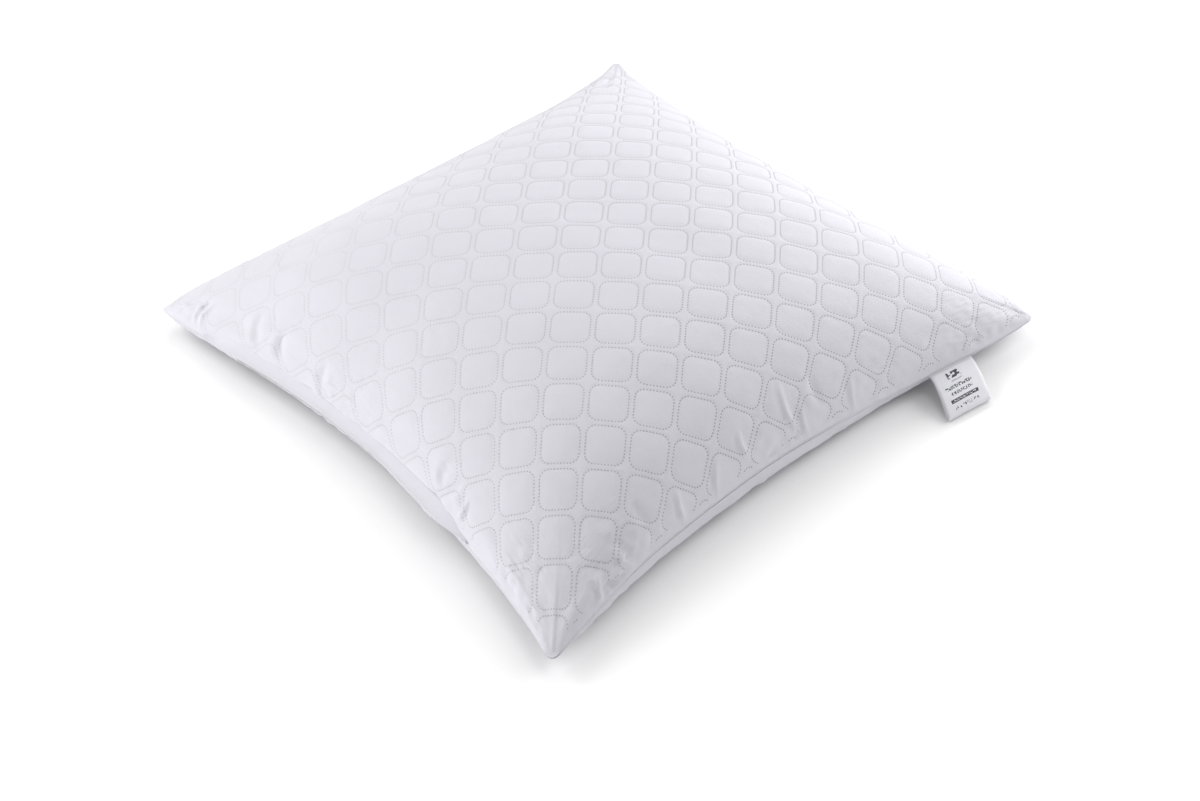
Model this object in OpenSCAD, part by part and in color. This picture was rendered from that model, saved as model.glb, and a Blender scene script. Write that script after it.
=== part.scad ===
// A square bed pillow: a filled inner pillow inside a quilted cover that closes with a hidden zip.
// The pillow lies flat with its edges along X and Y. The origin is the centre of the face it rests on.

/* [Pillow] */
// Side of the sewn square, measured flat along a seam
side = 700; // [400:10:900]
// Height of the crown above the table
crown_h = 146; // [110:2:220]
// Height of the edge seam above the table
seam_h = 24; // [16:1:60]
// How far the middle of the front edge draws in
pull_front = 48; // [10:1:70]
// How far the middle of the right edge draws in
pull_right = 38; // [10:1:70]
// How far the middle of the back edge draws in
pull_back = 38; // [10:1:70]
// How far the middle of the left edge draws in
pull_left = 48; // [10:1:70]
// How far the left front and right back corners shrink in along each edge
corner_draw = 20; // [0:1:30]
// Extra height of the far corner, which curls up
ear_lift = 16; // [0:1:50]
// Share of the crown's rise at which the underside lies flat on the table
foot_share = 0.75; // [0.6:0.01:0.9]
// Fullness of the panels: a higher value is boxier
fullness = 2.5; // [2:0.1:4]
// Steepness of the panels at the seam: a lower value is steeper
edge_power = 0.62; // [0.45:0.01:0.8]

/* [Cover layers] */
// Thickness of the outer face fabric
face_t = 0.6; // [0.3:0.1:1.5]
// Thickness of the quilt wadding
wadding_t = 3; // [1:0.5:8]
// Thickness of the backing fabric
backing_t = 0.4; // [0.2:0.1:1]
// Clearance between neighbouring soft layers
layer_gap = 0.05; // [0.02:0.01:0.2]

/* [Edge seam] */
// Gap between the two panels' edges, which the seam allowance fills
seam_gap = 2.2; // [1.8:0.1:4]
// Width of the seam allowance
seam_w = 10; // [6:1:16]
// Thickness of the seam allowance
seam_t = 1.2; // [0.8:0.1:1.6]

/* [Zip] */
// Length of the zip along the front edge
zip_len = 340; // [200:10:400]
// How far the zip's middle lies from the middle of the front edge
zip_shift = -35; // [-60:5:60]
// Width of each zip tape
tape_w = 11; // [8:1:14]
// Thickness of each zip tape
tape_t = 0.45; // [0.3:0.05:0.6]
// Width of each row of the coil
coil_w = 2; // [1.5:0.1:3]
// Depth of the coil
coil_d = 1.6; // [1.2:0.1:2.4]
// Length of the slider
slider_len = 9; // [7:0.5:14]
// Wall thickness of the slider
slider_wall = 1; // [0.8:0.1:1.5]
// Running clearance of the slider on the coil
slider_gap = 0.3; // [0.2:0.05:0.5]
// Length of the pull tab
pull_len = 17; // [12:1:24]
// Width of the pull tab
pull_w = 4.6; // [3:0.2:6]
// Thickness of the pull tab
pull_t = 1.1; // [0.8:0.1:1.6]
// Diameter of the pin that the pull tab turns on
pin_d = 1.2; // [1:0.1:1.6]
// How far the lip over the zip stands out
lip_w = 10.5; // [8:0.5:16]
// Thickness of the folded lip
lip_t = 1; // [0.6:0.1:2]

/* [Label] */
// Width of the loop label along the seam
label_w = 56; // [30:1:80]
// Length of the loop label from the seam to its fold
label_len = 50; // [30:1:70]
// Position of the label's middle along the right edge
label_at = 208; // [120:1:230]
// How far the label droops below level, in degrees
label_droop = 22; // [5:1:24]
// Thickness of the label ribbon
ribbon_t = 0.3; // [0.2:0.05:0.6]
// Opening between the two leaves of the loop at its fold
loop_open = 2.4; // [1:0.1:5]
// Length of the label's tail that is sewn into the seam
tail_in = 8; // [5:1:12]

/* [Inner pillow] */
// Thickness of the inner pillow's casing
casing_t = 0.5; // [0.3:0.1:1]
// Room between the cover and the inner pillow
inner_gap = 1.5; // [1:0.5:6]

/* [Hidden] */
half = side / 2;
cells = 18;                                  // cells across a panel's grid
even_share = 0.15;                           // share of even spacing in that grid
ear_power = 6;                               // how closely the curl keeps to its corner
draw_power = 8;                              // how closely the shrinkage keeps to its corners
rise = crown_h - seam_h - seam_gap / 2;      // height of the crown above the upper panel's edge
cover_t = face_t + wadding_t + backing_t;
inner_in = seam_w + inner_gap + 4;           // inset of the inner pillow's edge, 4 mm past the allowance
zip_steps = 16;                              // straight stretches along the zip
fit_gap = 0.1;                               // gap between zip parts that don't run on each other
eps = 0.01;

// ---- The pillow's surfaces. u and v run from -1 to 1 across the panel. ----
function arch(t) = 1 - t * t;
function grid(i) = let (t = 2 * i / cells - 1) even_share * t + (1 - even_share) * t * (3 - t * t) / 2;
function inset(d) = 1 - d / half;
function shrink(u, v) = corner_draw * pow(max(0, u * v), draw_power);
function plan_x(u, v) = u * (half - abs(u) * arch(v) * (u > 0 ? pull_right : pull_left) - shrink(u, v));
function plan_y(u, v) = v * (half - abs(v) * arch(u) * (v > 0 ? pull_back : pull_front) - shrink(u, v));
function seam_z(u, v) = seam_h + ear_lift * pow(max(0, (v - u) / 2), ear_power);
function bulge(u, v) =
    pow(max(0, 1 - pow(abs(u), fullness)), edge_power) * pow(max(0, 1 - pow(abs(v), fullness)), edge_power);
function flat(u, v) = 1 - pow(1 - min(1, bulge(u, v) / foot_share), 2);

// A point of the upper surface that lies at a depth d inside the cover
function upper(u, v, d, lift, sink) = let (k = inset(d))
    [plan_x(u * k, v * k), plan_y(u * k, v * k), seam_z(u * k, v * k) + lift + (rise - sink) * bulge(u, v)];
// The same for the lower surface, which goes down to the table
function lower(u, v, d, lift, sink) = let (k = inset(d), f = flat(u, v))
    [plan_x(u * k, v * k), plan_y(u * k, v * k), (seam_z(u * k, v * k) - lift) * (1 - f) + sink * f];

function upper_sheet(d, lift, sink) =
    [for (i = [0:cells], j = [0:cells]) upper(grid(i), grid(j), d, lift, sink)];
function lower_sheet(d, lift, sink) =
    [for (i = [0:cells], j = [0:cells]) lower(grid(i), grid(j), d, lift, sink)];

// A closed solid between two sheets of grid points, a above b
module between(a, b) {
    n = cells + 1;
    m = n * n;
    function id(i, j) = i * n + j;
    rim = concat([for (i = [0:cells - 1]) id(i, 0)], [for (j = [0:cells - 1]) id(cells, j)],
                 [for (i = [cells:-1:1]) id(i, cells)], [for (j = [cells:-1:1]) id(0, j)]);
    polyhedron(
        points = concat(a, b),
        faces = concat(
            [for (i = [0:cells - 1], j = [0:cells - 1], k = [0, 1])
                k == 0 ? [id(i, j), id(i + 1, j + 1), id(i + 1, j)]
                       : [id(i, j), id(i, j + 1), id(i + 1, j + 1)]],
            [for (i = [0:cells - 1], j = [0:cells - 1], k = [0, 1])
                k == 0 ? [m + id(i, j), m + id(i + 1, j), m + id(i + 1, j + 1)]
                       : [m + id(i, j), m + id(i + 1, j + 1), m + id(i, j + 1)]],
            [for (e = [0:len(rim) - 1], k = [0, 1]) let (p = rim[e], q = rim[(e + 1) % len(rim)])
                k == 0 ? [p, q, m + q] : [p, m + q, m + p]]),
        convexity = 6);
}

// Layer number n of the cover, counted from outside: its edge keeps clear of the seam allowance
function depth(n) = [0, face_t, face_t + wadding_t, cover_t][n];
function lift_of(n) = seam_gap / 2 + (2 - n) * layer_gap;
module top_layer(n)
    between(upper_sheet(depth(n), lift_of(n), depth(n) + n * layer_gap),
            upper_sheet(depth(n + 1), lift_of(n), depth(n + 1) + n * layer_gap));
module bottom_layer(n)
    between(lower_sheet(depth(n + 1), lift_of(n), depth(n + 1) + n * layer_gap),
            lower_sheet(depth(n), lift_of(n), depth(n) + n * layer_gap));

module top_face() { color("white") top_layer(0); }
module top_wadding() { color("ivory") top_layer(1); }
module top_backing() { color("whitesmoke") top_layer(2); }
module bottom_face() { color("white") bottom_layer(0); }
module bottom_wadding() { color("ivory") bottom_layer(1); }
module bottom_backing() { color("whitesmoke") bottom_layer(2); }

// ---- The seam allowance: a flat band between the panels' edges, open along the zip ----
zip_from = zip_shift - zip_len / 2;
zip_to = zip_shift + zip_len / 2;
seam_low = -seam_gap / 2 + layer_gap * 4;
function side_path(a, b, n) = [for (i = [0:n]) a + (b - a) * i / n];
band_gap = (seam_w + tape_w) / 2 + 0.5;      // the band starts and ends just past the tapes
band_from = (zip_to + band_gap) / half;
band_to = (zip_from - band_gap) / half;
near_line = 0.005;                           // grid lines closer than this to an end are left out
lines = [for (i = [0:cells]) grid(i)];
back_lines = [for (i = [cells:-1:0]) grid(i)];
// Points (u, v) once round the panel, from the zip's right end back to its left end
seam_route = concat(
    [[band_from, -1]], [for (g = lines) if (g > band_from + near_line) [g, -1]],
    [for (g = lines) if (g > -1) [1, g]],
    [for (g = back_lines) if (g < 1) [g, 1]],
    [for (g = back_lines) if (g < 1) [-1, g]],
    [for (g = lines) if (g > -1 && g < band_to - near_line) [g, -1]], [[band_to, -1]]);
function seam_point(p, d, z) = let (k = inset(d))
    [plan_x(p[0] * k, p[1] * k), plan_y(p[0] * k, p[1] * k), seam_z(p[0] * k, p[1] * k) + z];
function seam_ring(p) = [
    seam_point(p, 0, seam_low), seam_point(p, 0, seam_low + seam_t),
    seam_point(p, seam_w, seam_low + seam_t), seam_point(p, seam_w, seam_low)];

// A closed solid along rings of four points each
module sweep4(rings) {
    n = len(rings);
    polyhedron(
        points = [for (r = rings) each r],
        faces = concat(
            [[0, 2, 1], [0, 3, 2]],
            [for (i = [0:n - 2], k = [0:3], s = [0, 1]) let (a = 4 * i + k, b = 4 * i + (k + 1) % 4)
                s == 0 ? [a, b, b + 4] : [a, b + 4, a + 4]],
            [[4 * n - 4, 4 * n - 3, 4 * n - 2], [4 * n - 4, 4 * n - 2, 4 * n - 1]]),
        convexity = 10);
}
module edge_seam() { color("white") sweep4([for (p = seam_route) seam_ring(p)]); }

// ---- The zip: the front edge is an arc of this radius, and the zip keeps to it ----
zip_r = half * half / (2 * pull_front);
apex = [0, pull_front - half, seam_h];
function zip_angle(x) = asin(x / zip_r);
// Moves a piece drawn at the arc's crown to the place x along the zip; its own +Y points into the pillow
module on_zip(x)
    translate(apex - [0, zip_r, 0]) rotate([0, 0, -zip_angle(x)]) translate([0, zip_r, 0]) children();
// A strip along the zip from x = a to x = b, between y0 and y1 and between z0 and z1
module zip_strip(a, b, y0, y1, z0, z1)
    sweep4([for (x = side_path(a, b, zip_steps)) let (t = zip_angle(x))
        [for (c = [[y0, z0], [y0, z1], [y1, z1], [y1, z0]])
            apex + [(zip_r + c[0]) * sin(t), (zip_r + c[0]) * cos(t) - zip_r, c[1]]]]);

coil_back = -slider_gap * 2 - slider_wall;   // inner side of the coil
coil_front = coil_back - coil_d;             // outer side of the coil
tape_gap = 0.05;                             // from the mid plane to each tape
coil_gap = 0.05;                             // from the mid plane to each coil row
module tape(s)
    zip_strip(zip_from, zip_to, coil_back, coil_back + tape_w,
              s > 0 ? tape_gap : -tape_gap - tape_t, s > 0 ? tape_gap + tape_t : -tape_gap);
module coil(s)
    zip_strip(zip_from + stop_len + fit_gap, zip_to - stop_len - fit_gap, coil_front, coil_back - fit_gap,
              s > 0 ? coil_gap : -coil_gap - coil_w, s > 0 ? coil_gap + coil_w : -coil_gap);
module zip_tape_upper() { color("white") tape(1); }
module zip_tape_lower() { color("white") tape(-1); }
module zip_coil_upper() { color("white") coil(1); }
module zip_coil_lower() { color("white") coil(-1); }

// The end stops clamp both rows together
stop_len = 3;
stop_gap = 0.6;                              // room between a stop and the slider at its end
module stop(x) on_zip(x)
    translate([-stop_len / 2, coil_front, -coil_w - coil_gap])
        cube([stop_len, coil_d - fit_gap, 2 * (coil_w + coil_gap)]);
module zip_stop_closed() { color("silver") stop(zip_to - stop_len / 2); }
module zip_stop_open() { color("silver") stop(zip_from + stop_len / 2); }

// The slider: an outer plate and an upper and a lower flange, with short inner lips behind the coil
pin_gap = 0.25;                              // clearance of the pull tab's eye round the pin
eye_wall = 0.6;                              // wall of that eye
ear_t = 0.9;                                 // thickness of the ears that hold the pin
ear_l = 2.8;                                 // length of the ears along the zip
pull_gap = 0.2;                              // clearance of the pull tab from the slider
pin_in = 1.6;                                // distance of the pin from the slider's end
slider_home = zip_to - stop_len - slider_len / 2 - stop_gap;
slot_h = coil_w + coil_gap + slider_gap;     // half height of the slider's channel
slot_front = coil_front - slider_gap;
slot_back = coil_back + slider_gap;
eye_d = pin_d + 2 * pin_gap;                 // bore of the pull tab
eye_out = eye_d + 2 * eye_wall;
pin_y = slot_front - slider_wall - eye_out / 2 - pull_gap;
pin_x = slider_len / 2 - pin_in;             // place of the pull tab's pin along the slider
module slider_body() {
    hb = slot_h + slider_wall;
    l = slider_len;
    translate([-l / 2, slot_front - slider_wall, -hb]) cube([l, slider_wall, 2 * hb]);
    for (s = [0, 1]) mirror([0, 0, s]) {
        translate([-l / 2, slot_front - eps, slot_h])
            cube([l, slot_back + slider_wall - slot_front, slider_wall]);
        translate([-l / 2, slot_back, tape_gap + tape_t + slider_gap])
            cube([l, slider_wall - slider_gap, slot_h - tape_gap - tape_t - slider_gap + eps]);
    }
    // Two ears hold the pin
    for (s = [0, 1]) mirror([0, 0, s])
        translate([pin_x - ear_l / 2, pin_y - eye_out / 2, pull_w / 2 - ear_t])
            cube([ear_l, slot_front - slider_wall - pin_y + eye_out / 2 + eps, ear_t]);
    translate([pin_x, pin_y, -pull_w / 2]) cylinder(d = pin_d, h = pull_w, $fn = 24);
}
module zip_slider() { color("silver") on_zip(slider_home) slider_body(); }

// The pull tab lies along the zip and turns out about its pin
eye_h = pull_w - 2 * (ear_t + pull_gap);     // height of the eye between the ears
pull_y = -pull_t / 2 - 0.3;                  // the tab stands off the slider's plate
grip_l = pull_len - slider_len - 1;          // length of the wide grip, clear of the ears
module zip_pull() {
    color("silver") on_zip(slider_home) translate([pin_x, pin_y, 0]) difference() {
        union() {
            translate([0, 0, -eye_h / 2]) cylinder(d = eye_out, h = eye_h, $fn = 24);
            translate([-pull_len, pull_y, -eye_h / 2]) cube([pull_len, pull_t, eye_h]);
            translate([-pull_len, pull_y, -pull_w / 2]) cube([grip_l, pull_t, pull_w]);
        }
        translate([0, 0, -pull_w]) cylinder(d = eye_d, h = 2 * pull_w, $fn = 24);
    }
}

// The lip: a folded welt on the upper panel that hides the zip
lip_up = slot_h + slider_wall + 1.2;         // height of the lip's root above the zip's mid plane
lip_end = slot_h + slider_wall + 0.5;        // height of its underside at the tip
lip_over = 6;                                // how far it runs past each end of the zip
lip_gap = 0.3;                               // gap between its root and the panel's facets
function lip_root(x, up) = let (
        u = x / half,
        a = upper(u, -1, 0, lift_of(0), 0),
        b = upper(u, grid(1), 0, lift_of(0), 0),
        w = (seam_h + up - a[2]) / (b[2] - a[2]))
    a + (b - a) * w - [0, lip_gap, 0];
module zip_lip() {
    color("white") sweep4([for (x = side_path(zip_from - lip_over, zip_to + lip_over, zip_steps))
        let (t = zip_angle(x), r = lip_root(x, lip_up), q = lip_root(x, lip_up + lip_t),
             tip = apex + [(zip_r - lip_w) * sin(t), (zip_r - lip_w) * cos(t) - zip_r, 0])
        [tip + [0, 0, lip_end], tip + [0, 0, lip_end + lip_t],
         [q[0], q[1], seam_h + lip_up + lip_t], [r[0], r[1], seam_h + lip_up]]]);
}

// ---- The loop label on the right edge ----
label_v = label_at / half;
label_x = half - pull_right * arch(label_v);
label_turn = -atan(2 * pull_right * label_v / half);  // the seam runs at this angle there
hinge_out = 1.5;                             // distance of the flap's hinge line from the seam
hinge_gap = 0.3;                             // gap between the tail and the flap
slot_z = seam_h + seam_low + seam_t;         // upper side of the seam allowance
tail_z = (slot_z + seam_h + seam_gap / 2) / 2 - ribbon_t;
// Moves a piece drawn at the origin to the label's hinge line; its own +X points out of the pillow
module on_label()
    translate([label_x, label_at, tail_z + ribbon_t]) rotate([0, 0, label_turn]) children();
module label_tail() {
    color("white") on_label()
        translate([-tail_in, -label_w / 2, -ribbon_t])
            cube([tail_in + hinge_out - hinge_gap, label_w, 2 * ribbon_t]);
}
module label_loop() {
    sides = 8;
    root = 2 * ribbon_t;                     // the leaves part this far from the hinge line
    leaf = label_len - loop_open / 2;
    turn = [for (i = [0:sides]) 90 - 180 * i / sides];
    back = [for (i = [sides:-1:0]) turn[i]];
    outer = loop_open / 2;
    inner = outer - ribbon_t;
    profile = concat(
        [[0, ribbon_t]], [for (a = turn) [leaf + outer * cos(a), outer * sin(a)]], [[0, -ribbon_t]],
        [[root, -2 * eps]], [for (a = back) [leaf + inner * cos(a), inner * sin(a)]], [[root, 2 * eps]]);
    color("white") on_label() translate([hinge_out, 0, 0]) rotate([0, label_droop, 0])
        rotate([90, 0, 0]) translate([0, 0, -label_w / 2]) linear_extrude(label_w) polygon(profile);
}

// ---- The inner pillow ----
casing_sink = cover_t + inner_gap + 3 * layer_gap;
core_in = inner_in + casing_t;
core_sink = casing_sink + casing_t + layer_gap;
module casing_top() {
    color("white") between(upper_sheet(inner_in, layer_gap, casing_sink),
                           upper_sheet(core_in, layer_gap, casing_sink + casing_t));
}
module casing_bottom() {
    color("white") between(lower_sheet(core_in, layer_gap, casing_sink + casing_t),
                           lower_sheet(inner_in, layer_gap, casing_sink));
}
module fill_core() {
    color("snow") between(upper_sheet(core_in, 0, core_sink), lower_sheet(core_in, eps, core_sink));
}

top_face();
top_wadding();
top_backing();
bottom_face();
bottom_wadding();
bottom_backing();
edge_seam();
zip_tape_upper();
zip_tape_lower();
zip_coil_upper();
zip_coil_lower();
zip_stop_closed();
zip_stop_open();
zip_lip();
zip_slider();
zip_pull();
label_tail();
label_loop();
casing_top();
casing_bottom();
fill_core();
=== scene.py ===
"""A square quilted bed pillow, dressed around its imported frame.

The pillow lies on its lower panel. A zip runs along the front edge under a fabric lip, and a loop
label hangs from the right edge. Every size is in metres, in the frame's own axes.
"""
import logging
import math
from dataclasses import dataclass, field
from enum import Enum
from typing import Any, Iterable, Sequence

import bpy
import numpy as np
from mathutils import Matrix, Vector


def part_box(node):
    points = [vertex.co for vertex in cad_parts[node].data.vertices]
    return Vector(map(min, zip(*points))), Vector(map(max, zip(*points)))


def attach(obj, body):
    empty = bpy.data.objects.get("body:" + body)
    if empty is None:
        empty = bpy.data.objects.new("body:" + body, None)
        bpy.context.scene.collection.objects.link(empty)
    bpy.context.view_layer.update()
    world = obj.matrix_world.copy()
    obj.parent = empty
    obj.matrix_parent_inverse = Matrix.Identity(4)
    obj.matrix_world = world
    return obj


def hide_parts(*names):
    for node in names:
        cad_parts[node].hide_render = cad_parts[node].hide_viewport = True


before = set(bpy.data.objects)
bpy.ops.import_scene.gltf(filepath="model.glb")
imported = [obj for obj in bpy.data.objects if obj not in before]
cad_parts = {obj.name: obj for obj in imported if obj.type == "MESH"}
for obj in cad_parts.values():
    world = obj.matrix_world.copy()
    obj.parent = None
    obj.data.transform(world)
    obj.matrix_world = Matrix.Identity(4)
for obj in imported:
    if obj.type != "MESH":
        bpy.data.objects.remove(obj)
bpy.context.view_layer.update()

log = logging.getLogger("pillow")
Grid = np.ndarray
MM = 0.001


class Face(Enum):
    """The two panels of the cover."""

    UPPER = 0
    LOWER = 1

    @property
    def other(self) -> "Face":
        """The opposite panel."""
        return Face.LOWER if self is Face.UPPER else Face.UPPER

    @property
    def prefix(self) -> str:
        """How the panel's nodes start."""
        return "top" if self is Face.UPPER else "bottom"


class Body(Enum):
    """The bodies that pieces ride on."""

    PILLOW = "pillow"
    SLIDER = "slider"
    PULL = "pull"
    LABEL = "label"


# ---------------------------------------------------------------------------------------------
# Small tools
# ---------------------------------------------------------------------------------------------
def smooth_step(low: float, high: float, x: Grid) -> Grid:
    """Rises smoothly from 0 at low to 1 at high."""
    t = np.clip((x - low) / (high - low), 0.0, 1.0)
    return t * t * (3.0 - 2.0 * t)


def new_mesh_object(name: str, points: Grid, faces: Sequence[Sequence[int]],
                    material: bpy.types.Material | None = None, uv: Grid | None = None) -> bpy.types.Object:
    """Makes a smooth-shaded mesh object at the origin.

    Args:
        name: The object's name.
        points: The vertices, one row each.
        faces: Each face's vertex numbers, anticlockwise from outside.
        material: The finish of every face.
        uv: A pair of UV coordinates for each vertex.

    Returns:
        The linked object.
    """
    mesh = bpy.data.meshes.new(name)
    mesh.from_pydata(np.asarray(points, float).reshape(-1, 3).tolist(), [], faces)
    mesh.update()
    mesh.polygons.foreach_set("use_smooth", np.ones(len(mesh.polygons), bool))
    if uv is not None:
        corner = np.zeros(len(mesh.loops), np.int32)
        mesh.loops.foreach_get("vertex_index", corner)
        layer = mesh.uv_layers.new(name="flat")
        layer.data.foreach_set("uv", np.asarray(uv, np.float32).reshape(-1, 2)[corner].ravel())
    if material is not None:
        mesh.materials.append(material)
    piece = bpy.data.objects.new(name, mesh)
    bpy.context.scene.collection.objects.link(piece)
    return piece


def add_number(piece: bpy.types.Object, name: str, values: Grid) -> None:
    """Stores one number for each vertex under a name."""
    attribute = piece.data.attributes.new(name, "FLOAT", "POINT")
    attribute.data.foreach_set("value", np.asarray(values, np.float32).ravel())


def remove_object(piece: bpy.types.Object) -> None:
    """Deletes an object and its mesh."""
    mesh = piece.data
    bpy.data.objects.remove(piece)
    bpy.data.meshes.remove(mesh)


def baked(piece: bpy.types.Object, name: str) -> bpy.types.Object:
    """Turns an object with modifiers into a plain mesh object.

    Args:
        piece: The object, which is deleted.
        name: The new object's name.

    Returns:
        The new object.
    """
    graph = bpy.context.evaluated_depsgraph_get()
    graph.update()
    mesh = bpy.data.meshes.new_from_object(piece.evaluated_get(graph), depsgraph=graph)
    mesh.name = name
    remove_object(piece)
    result = bpy.data.objects.new(name, mesh)
    bpy.context.scene.collection.objects.link(result)
    return result


def grid_faces(rows: int, columns: int, start: int = 0, flip: bool = False) -> list[tuple[int, ...]]:
    """The quads of a grid of points stored row by row.

    Args:
        rows: Points along the first direction.
        columns: Points along the second direction.
        start: The number of the grid's first vertex.
        flip: Whether the faces look the other way.

    Returns:
        One tuple of four vertex numbers for each quad.
    """
    number = start + np.arange(rows * columns).reshape(rows, columns)
    quads = np.stack([number[:-1, :-1], number[1:, :-1], number[1:, 1:], number[:-1, 1:]], -1).reshape(-1, 4)
    if flip:
        quads = quads[:, ::-1]
    return [tuple(q) for q in quads.tolist()]


def rim_numbers(count: int) -> Grid:
    """The border of a square grid with count points a side, once round from (0, 0), first along u."""
    number = np.arange(count * count).reshape(count, count)
    return np.concatenate([number[:-1, 0], number[-1, :-1], number[:0:-1, -1], number[0, :0:-1]])


def closed_sweep(rings: Sequence[Grid]) -> tuple[Grid, list[tuple[int, ...]]]:
    """A closed solid along rings of equal numbers of points, with flat ends.

    Args:
        rings: The rings, which turn anticlockwise when seen from the first ring's outer side.

    Returns:
        The points and the faces.
    """
    size = len(rings[0])
    count = len(rings)
    faces: list[tuple[int, ...]] = [tuple(range(size))]
    for k in range(count - 1):
        for i in range(size):
            a, b = k * size + i, k * size + (i + 1) % size
            faces.append((a, a + size, b + size, b))
    faces.append(tuple(range(count * size - 1, (count - 1) * size - 1, -1)))
    return np.concatenate(rings), faces


class Waves:
    """Smooth random numbers over a plane, made of a few sine waves with a fixed seed."""

    def __init__(self, seed: int, shortest: float, longest: float, count: int = 14) -> None:
        """Draws the waves.

        Args:
            seed: The seed of the random draws.
            shortest: The shortest wave's length.
            longest: The longest wave's length.
            count: How many waves are added up.
        """
        draw = np.random.default_rng(seed)
        length = np.exp(draw.uniform(math.log(shortest), math.log(longest), count))
        angle = draw.uniform(0.0, math.tau, count)
        self.waves = np.stack([np.cos(angle), np.sin(angle)]) * math.tau / length
        self.phase = draw.uniform(0.0, math.tau, count)

    def __call__(self, x: Grid, y: Grid) -> Grid:
        """The waves' sum at each point, mostly between -1 and 1."""
        total = np.zeros(np.broadcast(x, y).shape)
        for k, phase in enumerate(self.phase):
            total += np.sin(x * self.waves[0, k] + y * self.waves[1, k] + phase)
        return total / math.sqrt(len(self.phase))


# ---------------------------------------------------------------------------------------------
# Node trees
# ---------------------------------------------------------------------------------------------
class NodeBench:
    """Adds and links nodes in one tree, shader or geometry."""

    def __init__(self, tree: bpy.types.NodeTree) -> None:
        """Takes the tree that it works on."""
        self.tree = tree

    def add(self, kind: str, inputs: dict[Any, Any] | None = None, **settings: Any) -> bpy.types.Node:
        """Adds a node.

        Args:
            kind: The node's type.
            inputs: Values or sockets for its inputs, by name or number.
            settings: The node's own properties.

        Returns:
            The new node.
        """
        node = self.tree.nodes.new(kind)
        for name, value in settings.items():
            setattr(node, name, value)
        for key, value in (inputs or {}).items():
            socket = node.inputs[key]
            if isinstance(value, bpy.types.NodeSocket):
                self.tree.links.new(value, socket)
            else:
                socket.default_value = value
        return node

    def math(self, operation: str, *values: Any) -> bpy.types.NodeSocket:
        """The result of one math operation."""
        return self.add("ShaderNodeMath", dict(enumerate(values)), operation=operation).outputs[0]

    def vector(self, operation: str, *values: Any) -> bpy.types.NodeSocket:
        """The vector result of one vector operation."""
        return self.add("ShaderNodeVectorMath", dict(enumerate(values)), operation=operation).outputs[0]


class Finish:
    """What every finish shares: a new material with a principled shader."""

    def start(self, name: str, color: tuple[float, float, float], roughness: float,
              **extra: float) -> tuple[bpy.types.Material, NodeBench, bpy.types.Node]:
        """Makes the material.

        Args:
            name: The material's name.
            color: Its base colour.
            roughness: Its roughness.
            extra: Further constants by the socket's name with underscores for spaces.

        Returns:
            The material, the bench for its tree and its shader node.
        """
        material = bpy.data.materials.new(name)
        material.use_nodes = True
        bench = NodeBench(material.node_tree)
        shader = material.node_tree.nodes["Principled BSDF"]
        shader.inputs["Base Color"].default_value = (*color, 1.0)
        shader.inputs["Roughness"].default_value = roughness
        for key, value in extra.items():
            shader.inputs[key.replace("_", " ")].default_value = value
        return material, bench, shader

    @staticmethod
    def tinted(bench: NodeBench, shader: bpy.types.Node, low: Sequence[float], high: Sequence[float],
               factor: bpy.types.NodeSocket) -> bpy.types.NodeSocket:
        """Mixes two colours by a factor and links them to the shader's base colour."""
        mix = bench.add("ShaderNodeMix", {"Factor": factor}, data_type="RGBA")
        mix.inputs[6].default_value = (*low, 1.0)
        mix.inputs[7].default_value = (*high, 1.0)
        bench.tree.links.new(mix.outputs[2], shader.inputs["Base Color"])
        return mix.outputs[2]

    @staticmethod
    def bumped(bench: NodeBench, shader: bpy.types.Node,
               layers: Sequence[tuple[bpy.types.NodeSocket, float, float]]) -> None:
        """Chains bump layers, each a height socket, a depth in metres and a strength."""
        normal = None
        for height, depth, strength in layers:
            inputs = {"Height": height, "Distance": depth, "Strength": strength}
            if normal is not None:
                inputs["Normal"] = normal
            normal = bench.add("ShaderNodeBump", inputs).outputs["Normal"]
        bench.tree.links.new(normal, shader.inputs["Normal"])


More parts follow.
